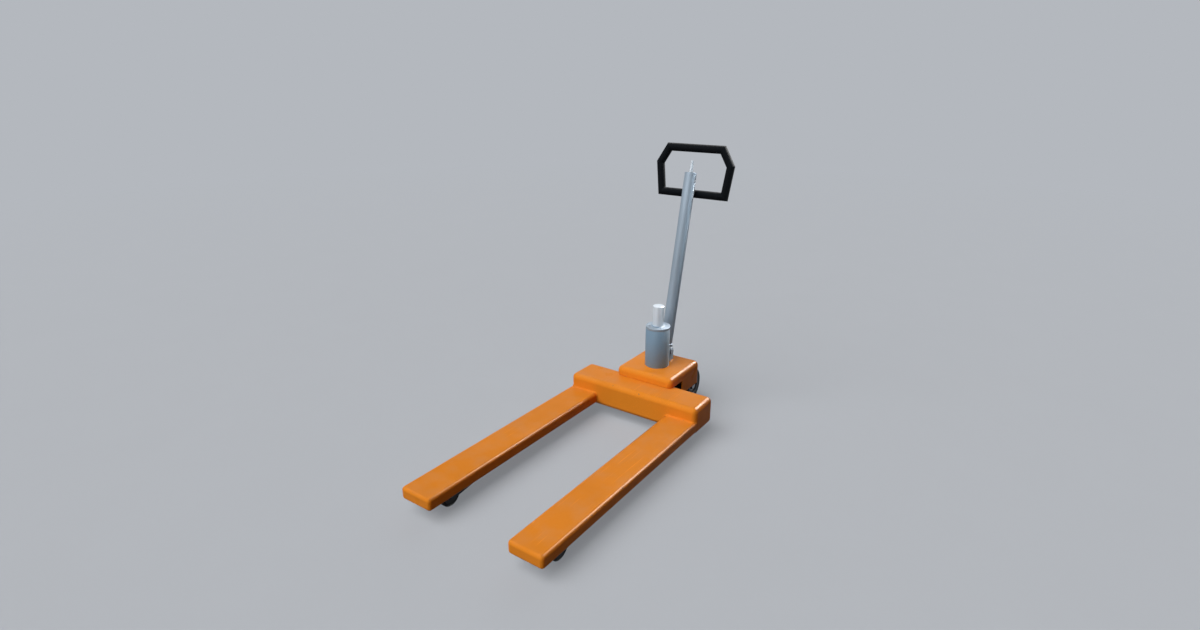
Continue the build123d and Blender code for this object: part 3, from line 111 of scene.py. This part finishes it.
class Finish:
    """A node material: a principled shader and the few patterns that the finishes here share."""

    def __init__(self, name, **constants):
        self.material = bpy.data.materials.new(name)
        self.material.use_nodes = True
        self.tree = self.material.node_tree
        self.shader = self.tree.nodes["Principled BSDF"]
        for socket, value in constants.items():
            self.shader.inputs[socket.replace("_", " ")].default_value = value
        coordinates = self.node("ShaderNodeTexCoord")
        self.place = coordinates.outputs["Object"]
        self.facing = coordinates.outputs["Normal"]

    def node(self, kind, **settings):
        made = self.tree.nodes.new(kind)
        for name, value in settings.items():
            setattr(made, name, value)
        return made

    def feed(self, socket, value):
        """Link an output to an input, or set the input's own value."""
        if isinstance(value, bpy.types.NodeSocket):
            self.tree.links.new(value, socket)
        else:
            socket.default_value = value

    def math(self, operation, first, second=0.0):
        made = self.node("ShaderNodeMath", operation=operation)
        self.feed(made.inputs[0], first)
        self.feed(made.inputs[1], second)
        return made.outputs[0]

    def product(self, first, *others):
        """All the values multiplied."""
        for other in others:
            first = self.math("MULTIPLY", first, other)
        return first

    def mix(self, share, first, second):
        made = self.node("ShaderNodeMix", data_type="RGBA")
        self.feed(made.inputs["Factor"], share)
        self.feed(made.inputs[MIX_FIRST], first)
        self.feed(made.inputs[MIX_SECOND], second)
        return made.outputs[MIX_RESULT]

    def between(self, value, low, high, start=0.0, end=1.0):
        """Value from low to high, as start to end."""
        made = self.node("ShaderNodeMapRange")
        for socket, amount in zip(made.inputs, (value, low, high, start, end)):
            self.feed(socket, amount)
        return made.outputs[0]

    def noise(self, scale, detail, place=None):
        """Cloudy noise, with a scale in features per metre."""
        made = self.node("ShaderNodeTexNoise")
        self.feed(made.inputs["Vector"], self.place if place is None else place)
        made.inputs["Scale"].default_value = scale
        made.inputs["Detail"].default_value = detail
        return made.outputs[0]

    def streaks(self, along, detail):
        """Noise drawn out along one axis, with features per metre on X, Y and Z."""
        mapping = self.node("ShaderNodeMapping")
        self.feed(mapping.inputs["Vector"], self.place)
        mapping.inputs["Scale"].default_value = along
        return self.noise(1.0, detail, mapping.outputs[0])

    def pattern(self, pattern, start=0.0, end=1.0):
        """Noise over a range of its values, as start to end."""
        scale, detail, low, high = pattern
        return self.between(self.noise(scale, detail), low, high, start, end)

    def axis(self, vector, index):
        made = self.node("ShaderNodeSeparateXYZ")
        self.feed(made.inputs[0], vector)
        return made.outputs[index]

    def rounded_edges(self):
        """Near 0 on faces that look along an axis, and highest on the rounding between two of them."""
        sizes = [self.math("ABSOLUTE", self.axis(self.facing, index)) for index in range(3)]
        largest = self.math("MAXIMUM", self.math("MAXIMUM", sizes[0], sizes[1]), sizes[2])
        return self.math("SUBTRACT", 1.0, largest)

    def bump(self, height, depth, strength):
        made = self.node("ShaderNodeBump")
        made.inputs["Strength"].default_value = strength
        made.inputs["Distance"].default_value = depth
        self.feed(made.inputs["Height"], height)
        self.feed(self.shader.inputs["Normal"], made.outputs[0])

    def colour(self, value):
        self.feed(self.shader.inputs["Base Color"], value)

    def roughness(self, value):
        self.feed(self.shader.inputs["Roughness"], value)


# Patterns: features per metre, detail, and the noise values where they start and are full
PAINT_TONE = (4, 3, 0.3, 0.7)
PAINT_GLOSS = (9, 4, 0.3, 0.7)
PAINT_DUST = (14, 5, 0.42, 0.75)
SCUFF_PATCHES = (5, 2, 0.5, 0.62)
CHIP_SPOTS = (75, 6, 0.66, 0.69)
METAL_STAINS = (38, 5, 0.35, 0.7)
IRON_RUBBED = (26, 6, 0.5, 0.72)
IRON_DUST = (11, 4, 0.5, 0.8)
RUBBER_TONE = (60, 3, 0.3, 0.7)
FLOOR_TONE = (3, 4, 0.3, 0.7)

# Noise that is only grain: features per metre and detail
PAINT_GRAIN = (330, 1)
IRON_GRAIN = (260, 3)
RUBBER_CLOUDS = (17, 5)
RUBBER_GRAIN_DETAIL = 2
SCUFF_DETAIL = 2
TOOL_LINE_DETAIL = 3

# Ranges where an effect starts and is full
# Painted shade: how far a face looks left or right where the sides colour starts, and where it is full
PAINTED_SHADE_SIDEWAYS = (0.6, 0.95)
UPWARD = (0.5, 0.95)
ROUNDING = (0.10, 0.26)
SCUFF_LINES = (0.63, 0.69)
TOOL_LINES = (0.3, 0.7)
RUBBER_DUSTY = (0.45, 0.75)
RUBBER_GLOSS = (0.35, 0.7)

# Tints of a finish's own colour
TONE_DARK = 0.94
TONE_LIGHT = 1.05
SCUFF_TINT = 1.5
RUBBED_TINT = 2.2
RUBBER_TINT = 1.35
FLOOR_TINT = 0.985

# How much dust shows at most, how much wear adds to the roughness, and how deep chips are beside the grain
PAINT_DUST_SHARE = 0.1
IRON_DUST_SHARE = 0.22
DUST_DULLS = 1.2
SCUFFS_DULL = 0.3
CHIP_DEPTH = 2.5

DUST_ON_PAINT = srgb(196, 178, 158)
DUST_ON_IRON = srgb(128, 118, 106)
DUST_ON_RUBBER = srgb(120, 114, 106)
CHIPPED_PAINT = srgb(92, 88, 84)
IRON_ROUGHNESS = (0.58, 0.42)


def painted(name, colour, sides, scuffs, chips, along, roughness, **shine):
    """Enamel: uneven tone, a painted shade in the sides colour on the faces that look left and right, dust on
    top, scuffs drawn out along one axis and chips at the roundings."""
    finish = Finish(name, **shine)
    shade = finish.mix(finish.pattern(PAINT_TONE), tinted(colour, TONE_DARK), tinted(colour, TONE_LIGHT))
    # Painted shade: faces that look left or right take the sides colour in place of the paint's own tone
    sideways = finish.math("ABSOLUTE", finish.axis(finish.facing, 0))
    shade = finish.mix(finish.between(sideways, *PAINTED_SHADE_SIDEWAYS), shade, sides)
    upward = finish.between(finish.axis(finish.facing, 2), *UPWARD)
    dust = finish.product(finish.pattern(PAINT_DUST, 0.0, PAINT_DUST_SHARE), upward)
    shade = finish.mix(dust, shade, DUST_ON_PAINT)
    lines = finish.between(finish.streaks(along, SCUFF_DETAIL), *SCUFF_LINES)
    scuffed = finish.product(lines, finish.pattern(SCUFF_PATCHES), scuffs)
    shade = finish.mix(scuffed, shade, tinted(colour, SCUFF_TINT))
    edges = finish.between(finish.rounded_edges(), *ROUNDING)
    chipped = finish.product(edges, finish.pattern(CHIP_SPOTS), chips)
    finish.colour(finish.mix(chipped, shade, CHIPPED_PAINT))
    worn = finish.math("ADD", finish.product(dust, DUST_DULLS), finish.product(scuffed, SCUFFS_DULL))
    finish.roughness(finish.math("ADD", finish.pattern(PAINT_GLOSS, *roughness), worn))
    surface = finish.math("SUBTRACT", finish.noise(*PAINT_GRAIN), finish.product(chipped, CHIP_DEPTH))
    finish.bump(surface, depth=0.25 * MM, strength=0.35)
    return finish.material


def bare_metal(name, colour, along, roughness, stained=0.82, metallic=1.0):
    """Steel or bronze with fine tool lines along one axis and faint stains."""
    finish = Finish(name, Metallic=metallic)
    lines = finish.streaks(along, TOOL_LINE_DETAIL)
    finish.colour(finish.mix(finish.pattern(METAL_STAINS), colour, tinted(colour, stained)))
    finish.roughness(finish.between(lines, *TOOL_LINES, *roughness))
    finish.bump(lines, depth=0.02 * MM, strength=0.3)
    return finish.material


def cast_iron(name, colour):
    """Blackened casting: grainy, with greyer rubbed places and dust."""
    finish = Finish(name, Metallic=0.1, Specular_IOR_Level=0.15)
    rubbed = finish.pattern(IRON_RUBBED)
    shade = finish.mix(rubbed, colour, tinted(colour, RUBBED_TINT))
    finish.colour(finish.mix(finish.pattern(IRON_DUST, 0.0, IRON_DUST_SHARE), shade, DUST_ON_IRON))
    finish.roughness(finish.between(rubbed, 0.0, 1.0, *IRON_ROUGHNESS))
    finish.bump(finish.noise(*IRON_GRAIN), depth=0.5 * MM, strength=0.5)
    return finish.material


def rubber(name, colour, grain, depth, roughness, dusty, shine):
    """Black rubber or plastic: fine grain, and dust that dulls it in patches."""
    finish = Finish(name, Specular_IOR_Level=shine)
    clouds = finish.noise(*RUBBER_CLOUDS)
    dust = finish.between(clouds, *RUBBER_DUSTY, 0.0, dusty)
    shade = finish.mix(finish.pattern(RUBBER_TONE), colour, tinted(colour, RUBBER_TINT))
    finish.colour(finish.mix(dust, shade, DUST_ON_RUBBER))
    finish.roughness(finish.between(clouds, *RUBBER_GLOSS, *roughness))
    finish.bump(finish.noise(grain, RUBBER_GRAIN_DETAIL), depth, strength=0.5)
    return finish.material


ORANGE = srgb(221, 131, 38)
# Painted shade for the orange faces that look left and right: a darker, redder orange
ORANGE_PAINTED_SHADE = srgb(219, 116, 27)
ORANGE_GLOSS = srgb(255, 206, 158)
CYLINDER_GREY = srgb(115, 143, 165)
TUBE_GREY = srgb(147, 161, 174)
BRIGHT_STEEL = srgb(205, 214, 223)
MACHINED_STEEL = srgb(92, 95, 100)
DARK_IRON = srgb(36, 37, 39)
BRONZE = srgb(190, 150, 88)
TREAD_BLACK = srgb(12, 12, 13)
GRIP_BLACK = srgb(10, 13, 17)

# Features per metre on X, Y and Z of streaks along or around an axis
ALONG_X = (5, 320, 320)
ALONG_Y = (240, 3, 240)
ALONG_Z = (240, 240, 4)
AROUND_Z = (8, 8, 420)

materials = {
    # The orange paint's sides colour is a painted shade on its left and right faces
    "orange_paint": painted(
        "orange_paint", ORANGE, ORANGE_PAINTED_SHADE, scuffs=0.5, chips=0.8, along=ALONG_Y, roughness=(0.26, 0.36),
        Specular_IOR_Level=0.03, Specular_Tint=ORANGE_GLOSS,
    ),
    "grey_paint": painted(
        "grey_paint", CYLINDER_GREY, CYLINDER_GREY, scuffs=0.25, chips=0.5, along=ALONG_Z,
        roughness=(0.52, 0.60), Specular_IOR_Level=0.5,
    ),
    "tube_paint": painted(
        "tube_paint", TUBE_GREY, TUBE_GREY, scuffs=0.12, chips=0.0, along=ALONG_Z, roughness=(0.45, 0.52),
        Specular_IOR_Level=0.1, Metallic=0.15,
    ),
    "bright_steel": bare_metal(
        "bright_steel", BRIGHT_STEEL, along=AROUND_Z, roughness=(0.36, 0.46), stained=0.95, metallic=0.12,
    ),
    "machined_steel": bare_metal("machined_steel", MACHINED_STEEL, along=ALONG_X, roughness=(0.38, 0.54)),
    "dark_iron": cast_iron("dark_iron", DARK_IRON),
    "bronze": bare_metal("bronze", BRONZE, along=ALONG_Z, roughness=(0.3, 0.5)),
    "black_tread": rubber(
        "black_tread", TREAD_BLACK, grain=420, depth=0.3 * MM, roughness=(0.45, 0.7), dusty=0.05, shine=0.08,
    ),
    "black_grip": rubber(
        "black_grip", GRIP_BLACK, grain=900, depth=0.03 * MM, roughness=(0.74, 0.82), dusty=0.01, shine=0.06,
    ),
}


# Mesh tools

SHARP_ANGLE = radians(38)
BAR_SIDES = 12
LATHE_SIDES = 96


def piece(name, mesh, slot, body):
    """Put a finished bmesh in the scene as a named piece that rides on a body."""
    data = bpy.data.meshes.new(name)
    bmesh.ops.recalc_face_normals(mesh, faces=mesh.faces)
    mesh.to_mesh(data)
    mesh.free()
    data.set_sharp_from_angle(angle=SHARP_ANGLE)
    made = add(name, data)
    data.materials.append(materials[slot])
    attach(made, body)
    return made


def skin(mesh, rings, closed=False):
    """Join rings of points into a tube: closed end to end, or capped at both ends."""
    loops = [[mesh.verts.new(point) for point in ring] for ring in rings]
    pairs = list(zip(loops, loops[1:]))
    if closed:
        pairs.append((loops[-1], loops[0]))
    for first, second in pairs:
        for index in range(len(first)):
            after = (index + 1) % len(first)
            mesh.faces.new((first[index], first[after], second[after], second[index])).smooth = True
    if not closed:
        mesh.faces.new(loops[0])
        mesh.faces.new(reversed(loops[-1]))


def square_to(way):
    """Two unit vectors that are square to a direction and to each other."""
    first = way.orthogonal().normalized()
    return first, way.cross(first).normalized()


def turns(steps):
    """Angles that share a full turn evenly, from 0."""
    return [2 * pi * step / steps for step in range(steps)]


def around(first, second, turn):
    """The unit vector that is turned from the first of two square ones towards the second."""
    return first * cos(turn) + second * sin(turn)


def sweep(mesh, path, radii, sides=BAR_SIDES):
    """A round bar along a path of points, with a radius at each."""
    ways = [(after - before).normalized() for before, after in zip(path, path[1:])]
    ways = [ways[0]] + [(one + two).normalized() for one, two in zip(ways, ways[1:])] + [ways[-1]]
    up = square_to(ways[0])[0]
    rings = []
    for point, way, radius in zip(path, ways, radii):
        up = (up - way * up.dot(way)).normalized()
        side = way.cross(up)
        rings.append([point + around(up, side, turn) * radius for turn in turns(sides)])
    skin(mesh, rings)


def lathe(mesh, profile, centre, way, sides=LATHE_SIDES):
    """Turn a closed profile of (radius, distance along) points round an axis."""
    first, second = square_to(way)
    rings = []
    for turn in turns(sides):
        out = around(first, second, turn)
        rings.append([centre + out * radius + way * along for radius, along in profile])
    skin(mesh, rings, closed=True)


# A weld bead: points per radius, two waves as shares of the radius with their radians per point, and the
# share of the radius that is left at its ends
BEAD_POINTS = 4
RIPPLE = 0.10
RIPPLE_TURN = 1.1
WAVER = 0.05
WAVER_TURN = 0.137
BEAD_END = 0.2


def weld(mesh, corners, radius):
    """A rippled weld bead along a line of points, thin at both ends."""
    step = radius / BEAD_POINTS
    path = []
    for start, end in zip(corners, corners[1:]):
        count = max(1, round((end - start).length / step))
        path += [start.lerp(end, index / count) for index in range(count)]
    path.append(corners[-1])
    last = len(path) - 1
    radii = []
    for index in range(len(path)):
        from_end = min(1.0, min(index, last - index) * step / radius)
        taper = max(BEAD_END, sqrt(1 - (1 - from_end) ** 2))
        ripple = 1 + RIPPLE * cos(index * RIPPLE_TURN) + WAVER * sin(index * WAVER_TURN)
        radii.append(radius * taper * ripple)
    sweep(mesh, path, radii)


RING_OPENING = radians(40)
RING_STEPS = 40
RING_WIRE_SIDES = 10


def snap_ring(mesh, centre, way, radius, wire):
    """An open spring ring round a pin."""
    first, second = square_to(way)
    path = []
    for index in range(RING_STEPS + 1):
        turn = RING_OPENING / 2 + (2 * pi - RING_OPENING) * index / RING_STEPS
        path.append(centre + around(first, second, turn) * radius)
    sweep(mesh, path, [wire] * len(path), RING_WIRE_SIDES)


# CAD nodes: finishes, and edges broken by a small rounding

EDGE_BREAK = 0.8 * MM
EDGE_ANGLE = radians(40)
EDGE_SEGMENTS = 2
MERGE_DISTANCE = 0.001 * MM
UNBROKEN = ("pump_spring", "grip_loop", "release_lever")

for name, node in nodes.items():
    slot = node.material_slots[0].name
    node.material_slots[0].material = materials[slot]
    if name in UNBROKEN:
        continue
    merge = node.modifiers.new("merge", "WELD")
    merge.merge_threshold = MERGE_DISTANCE
    breaking = node.modifiers.new("break_edges", "BEVEL")
    breaking.width = EDGE_BREAK
    breaking.segments = EDGE_SEGMENTS
    breaking.limit_method = "ANGLE"
    breaking.angle_limit = EDGE_ANGLE
    breaking.harden_normals = True


# Welds that join the forks and the tongue to the crossbar

WELD = 3.6 * MM
FORK_EDGE = 14 * MM
FORK_COPE = 14 * MM
FORK_TOP_STEPS = 24
CROSSBAR_EDGE = 24 * MM
CORNER_STEPS = 6
QUARTER_TURN = [radians(90 * step / CORNER_STEPS) for step in range(CORNER_STEPS + 1)]

bar_low, bar_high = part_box("crossbar")
weld_low = bar_low.z + CROSSBAR_EDGE + 2 * WELD
weld_reach = bar_high.x - WELD * (1 + RIPPLE + WAVER)


def crossbar_front(x):
    """Where the crossbar's front, rounded at its ends, lies at some place across."""
    past = max(0.0, abs(x) - (bar_high.x - CROSSBAR_EDGE))
    behind = CROSSBAR_EDGE - sqrt(max(0.0, CROSSBAR_EDGE ** 2 - past ** 2))
    return bar_low.y + min(behind, FORK_COPE)


for side in SIDES:
    low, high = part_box(f"fork_{side}")
    left, right, top = low.x + FORK_EDGE, high.x - FORK_EDGE, high.z - FORK_EDGE
    top_steps = range(1, FORK_TOP_STEPS)
    outline = [(low.x, weld_low)]
    outline += [(left - FORK_EDGE * cos(turn), top + FORK_EDGE * sin(turn)) for turn in QUARTER_TURN]
    outline += [(left + (right - left) * step / FORK_TOP_STEPS, high.z) for step in top_steps]
    outline += [(right + FORK_EDGE * sin(turn), top + FORK_EDGE * cos(turn)) for turn in QUARTER_TURN]
    outline.append((high.x, weld_low))
    outline = [(max(-weld_reach, min(x, weld_reach)), z) for x, z in outline]
    mesh = bmesh.new()
    weld(mesh, [Vector((x, crossbar_front(x), z)) for x, z in outline], WELD)
    piece(f"heel_weld_{side}", mesh, "orange_paint", "fork_frame")

low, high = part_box("tongue")
back_top = high.z - (bar_high.z - CROSSBAR_EDGE)
tongue_back = bar_high.y - CROSSBAR_EDGE + sqrt(CROSSBAR_EDGE ** 2 - back_top ** 2)
mesh = bmesh.new()
weld(mesh, [
    Vector((low.x, bar_high.y, low.z)), Vector((low.x, bar_high.y, high.z - back_top)),
    Vector((low.x, tongue_back, high.z)), Vector((high.x, tongue_back, high.z)),
    Vector((high.x, bar_high.y, high.z - back_top)), Vector((high.x, bar_high.y, low.z)),
], WELD)
piece("tongue_weld", mesh, "orange_paint", "fork_frame")


# Wheels and rollers: treads with dished sides and shallow grooves, hub ribs, and rings on the roller axles

GROOVE_DEPTH = 1.2 * MM
GROOVE_WIDTH = 3.0 * MM
SIDE_DISH = 1.5 * MM
DISH_MARGIN = 3.0 * MM
TREAD_SIDES = 128

# Rounding of a tread's edges, and where its two grooves lie as a share of its half width
STEER_EDGE = 6 * MM
STEER_GROOVE = 0.55
ROLLER_EDGE = 2 * MM
ROLLER_GROOVE = 0.6


def tread_profile(outer, inner, half, edge, groove):
    """A tread's section: from the bore round one side to the groove there, then the mirrored half."""
    start = -half * groove
    profile = [
        (inner, -half), (inner + DISH_MARGIN, -half),
        (inner + DISH_MARGIN + SIDE_DISH, -half + SIDE_DISH),
        (outer - edge - 2 * SIDE_DISH, -half + SIDE_DISH), (outer - edge - SIDE_DISH, -half),
    ]
    profile += [(outer - edge * (1 - sin(turn)), -half + edge * (1 - cos(turn))) for turn in QUARTER_TURN]
    profile += [
        (outer, start - GROOVE_WIDTH / 2), (outer - GROOVE_DEPTH, start - GROOVE_WIDTH / 4),
        (outer - GROOVE_DEPTH, start + GROOVE_WIDTH / 4), (outer, start + GROOVE_WIDTH / 2),
    ]
    return profile + [(radius, -along) for radius, along in reversed(profile)]


def tread(name, node, core, edge, groove, body):
    """A lathed tread that stands for a plain one."""
    profile = tread_profile(half_height(node), half_height(core), half_width(node), edge, groove)
    mesh = bmesh.new()
    lathe(mesh, profile, middle(node), X, TREAD_SIDES)
    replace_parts(piece(name, mesh, "black_tread", body), node)


RIB_COUNT = 6
RIB_WIDTH = 6.0 * MM
RIB_INNER = 34.0 * MM
RIB_OUTER = 59.0 * MM
RIB_START = 6.5 * MM
RIB_RISE = 10.0 * MM
RIB_OUTER_SHARE = 0.6
RIB_EDGE = 1.2 * MM


def hub_ribs(mesh, centre, out):
    """Radial ribs on the face of a wheel's web that looks along out."""
    for count in range(RIB_COUNT):
        turn = Matrix.Rotation(2 * pi * (count + 0.5) / RIB_COUNT, 3, X)
        ray, across = turn @ Z, turn @ Y
        corners = []
        for along, height in ((RIB_INNER, RIB_RISE), (RIB_OUTER, RIB_RISE * RIB_OUTER_SHARE)):
            for half in (-RIB_WIDTH / 2, RIB_WIDTH / 2):
                for level in (RIB_START, RIB_START + height):
                    corners.append(mesh.verts.new(centre + ray * along + across * half + out * level))
        made = bmesh.ops.convex_hull(mesh, input=corners)["geom"]
        edges = [item for item in made if isinstance(item, bmesh.types.BMEdge)]
        sharp = [edge for edge in edges if edge.is_valid and edge.calc_face_angle(0) > SHARP_ANGLE]
        bmesh.ops.bevel(
            mesh, geom=sharp, offset=RIB_EDGE, segments=EDGE_SEGMENTS, affect="EDGES", profile=0.5,
        )


PIN_RING_WIRE = 1.3 * MM

for side in SIDES:
    wheel = f"steer_wheel_{side}"
    hub = f"steer_hub_{side}"
    tread(f"steer_tread_{side}", f"steer_tyre_{side}", hub, STEER_EDGE, STEER_GROOVE, wheel)
    mesh = bmesh.new()
    for way in (X, -X):
        hub_ribs(mesh, middle(hub), way)
    piece(f"hub_ribs_{side}", mesh, "dark_iron", wheel)

    roller = f"load_roller_{side}"
    core = f"roller_core_{side}"
    tread(f"roller_tread_{side}", f"roller_tyre_{side}", core, ROLLER_EDGE, ROLLER_GROOVE, roller)
    mesh = bmesh.new()
    arm_low, arm_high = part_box(f"roller_arm_{side}")
    axle = middle(f"roller_axle_{side}")
    axle_radius = half_height(f"roller_axle_{side}")
    for x in (arm_low.x - PIN_RING_WIRE, arm_high.x + PIN_RING_WIRE):
        snap_ring(mesh, Vector((x, axle.y, axle.z)), X, axle_radius, PIN_RING_WIRE)
    piece(f"axle_rings_{side}", mesh, "dark_iron", f"roller_arm_{side}")


# Steering head: the ram's wiper, the bead round the cylinder's foot and the welds of the handle clevis

WIPER_WIDTH = 4.0 * MM
WIPER_HEIGHT = 2.0 * MM
WIPER_GAP = 0.3 * MM
FOOT_BEAD = 1.4 * MM

# Sections as shares of the width and the height
WIPER_SECTION = ((0, 0), (1, 0), (1, 0.4), (0.6, 0.7), (0.25, 1), (0, 1))
FOOT_SECTION = ((-1, 0), (1, 0), (0.7, 0.5), (0.2, 1), (-1, 1))

lift_axis = middle("cylinder_cap")
cap_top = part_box("cylinder_cap")[1].z
cylinder_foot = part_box("lift_cylinder")[0].z
wiper_radius = half_width("lift_ram") + WIPER_GAP

for name, section, radius, width, height, level, slot in (
    ("ram_wiper", WIPER_SECTION, wiper_radius, WIPER_WIDTH, WIPER_HEIGHT, cap_top, "grey_paint"),
    ("cylinder_foot", FOOT_SECTION, half_width("lift_cylinder"), FOOT_BEAD, FOOT_BEAD, cylinder_foot,
     "orange_paint"),
):
    profile = [(radius + width * across, height * up) for across, up in section]
    mesh = bmesh.new()
    lathe(mesh, profile, Vector((lift_axis.x, lift_axis.y, level)), Z)
    piece(name, mesh, slot, "steering_head")

EAR_THICKNESS = 10.0 * MM
EAR_WELD = 2.4 * MM

low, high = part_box("handle_clevis")
mesh = bmesh.new()
for left, right in ((low.x, low.x + EAR_THICKNESS), (high.x - EAR_THICKNESS, high.x)):
    corners = ((left, low.y), (right, low.y), (right, high.y), (left, high.y), (left, low.y))
    weld(mesh, [Vector((x, y, low.z)) for x, y in corners], EAR_WELD)
piece("ear_weld", mesh, "orange_paint", "steering_head")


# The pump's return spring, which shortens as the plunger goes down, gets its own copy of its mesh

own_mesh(nodes["pump_spring"])


# Handle: the weld at the foot of the tube

FOOT_WELD = 2.0 * MM
FOOT_WELD_STEPS = 48
TUBE_START = 34.0 * MM

pivot = Vector(joints["handle_pump"]["pos_m"])
release = Vector(joints["release_pull"]["pos_m"])
tube_way = (release - pivot).normalized()
tube_radius = half_width("handle_tube")
tube_start = pivot + tube_way * TUBE_START
first, second = square_to(tube_way)
full_turn = turns(FOOT_WELD_STEPS) + [2 * pi]
mesh = bmesh.new()
weld(mesh, [tube_start + around(first, second, turn) * tube_radius for turn in full_turn], FOOT_WELD)
piece("foot_weld", mesh, "tube_paint", "handle")


# Stage, light and camera

FLOOR_RADIUS = 60.0
FLOOR_SIDES = 96
FLOOR_COLOUR = srgb(186, 189, 194)
FLOOR_BOUNCE = srgb(96, 98, 101)
BACKGROUND = srgb(180, 184, 190)
NEAR_HAZE = 0.4
FADE_START = 2.0
FADE_END = 10.0
SKY_COLOUR = (0.94, 0.97, 1.0, 1.0)
SKY_LIGHT = 0.055


def seen_rays(tree):
    """1 for rays that show the backdrop: straight to the camera, by a reflection or through glass."""
    path = tree.nodes.new("ShaderNodeLightPath")
    seen = path.outputs["Is Camera Ray"]
    for kind in ("Is Glossy Ray", "Is Transmission Ray"):
        either = tree.nodes.new("ShaderNodeMath")
        either.operation = "MAXIMUM"
        tree.links.new(seen, either.inputs[0])
        tree.links.new(path.outputs[kind], either.inputs[1])
        seen = either.outputs[0]
    return seen


def fade_far(finish):
    """The far floor takes the backdrop's colour, so that no horizon shows."""
    distance = finish.node("ShaderNodeVectorMath", operation="LENGTH")
    finish.feed(distance.inputs[0], finish.place)
    far = finish.between(distance.outputs["Value"], FADE_START, FADE_END, NEAR_HAZE, 1.0)
    share = finish.product(far, seen_rays(finish.tree))
    haze = finish.node("ShaderNodeEmission")
    haze.inputs["Color"].default_value = BACKGROUND
    choice = finish.node("ShaderNodeMixShader")
    finish.feed(choice.inputs[0], share)
    finish.feed(choice.inputs[1], finish.shader.outputs[0])
    finish.feed(choice.inputs[2], haze.outputs[0])
    finish.feed(finish.tree.nodes["Material Output"].inputs["Surface"], choice.outputs[0])


floor_mesh = bmesh.new()
bmesh.ops.create_circle(floor_mesh, cap_ends=True, segments=FLOOR_SIDES, radius=FLOOR_RADIUS)
floor_data = bpy.data.meshes.new("floor")
floor_mesh.to_mesh(floor_data)
floor_mesh.free()
floor = add("floor", floor_data)

# The floor is darker for light that bounces off it, so that less of it reaches the undersides
floor_finish = Finish("floor", Roughness=0.85, Specular_IOR_Level=0.0)
floor_seen = floor_finish.mix(
    floor_finish.pattern(FLOOR_TONE), FLOOR_COLOUR, tinted(FLOOR_COLOUR, FLOOR_TINT)
)
floor_finish.colour(floor_finish.mix(seen_rays(floor_finish.tree), FLOOR_BOUNCE, floor_seen))
fade_far(floor_finish)
floor_data.materials.append(floor_finish.material)

# The forks stay in place and the wheels go down as the truck lifts, so the floor goes with the wheels
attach(floor, "wheel_carriage")

world = bpy.data.worlds.new("studio")
bpy.context.scene.world = world
world.use_nodes = True
tree = world.node_tree
backdrop = tree.nodes.new("ShaderNodeBackground")
backdrop.inputs["Color"].default_value = BACKGROUND
glow = tree.nodes["Background"]
glow.inputs["Color"].default_value = SKY_COLOUR
glow.inputs["Strength"].default_value = SKY_LIGHT
choice = tree.nodes.new("ShaderNodeMixShader")
tree.links.new(seen_rays(tree), choice.inputs[0])
tree.links.new(glow.outputs[0], choice.inputs[1])
tree.links.new(backdrop.outputs[0], choice.inputs[2])
tree.links.new(choice.outputs[0], tree.nodes["World Output"].inputs["Surface"])

WHITE = (1.0, 1.0, 1.0)
COOL = (0.80, 0.92, 1.0)

# Distant lamps: direction towards the lamp, strength, spread in degrees, colour, and whether it gives diffuse
# light or highlights alone
LAMPS = (
    ("key", (-0.22, -0.60, 0.77), 3.25, 60, WHITE, True),
    ("back_fill", (-0.3, 0.9, 0.35), 0.6, 60, WHITE, True),
    ("rim_highlight", (0.2, 0.77, 0.6), 22.0, 28, WHITE, False),
    ("fork_highlight", (0.26, 0.64, 0.72), 14.0, 20, WHITE, False),
    ("tube_highlight", (-0.17, -0.98, 0.03), 0.5, 24, WHITE, False),
    ("side_highlight", (0.85, 0.3, 0.12), 5.0, 70, COOL, False),
)

for name, towards, strength, spread, colour, diffuse in LAMPS:
    light = bpy.data.lights.new(name, "SUN")
    light.energy = strength
    light.angle = radians(spread)
    light.color = colour
    lamp = add(name, light)
    lamp.rotation_mode = "QUATERNION"
    lamp.rotation_quaternion = Vector(towards).to_track_quat("Z", "Y")
    lamp.visible_diffuse = diffuse

CAMERA_PLACE = (1.4773, -2.1230, 1.5567)
CAMERA_DOWN = 19.78
CAMERA_TURN = 34.885
CAMERA_LENS = 19.897
CAMERA_SENSOR = 36.0

camera_data = bpy.data.cameras.new("camera")
camera_data.sensor_width = CAMERA_SENSOR
camera_data.lens = CAMERA_LENS
camera = add("camera", camera_data)
camera.location = CAMERA_PLACE
camera.rotation_euler = (radians(90 - CAMERA_DOWN), 0, radians(CAMERA_TURN))
bpy.context.scene.camera = camera
bpy.context.scene.view_settings.view_transform = "Standard"
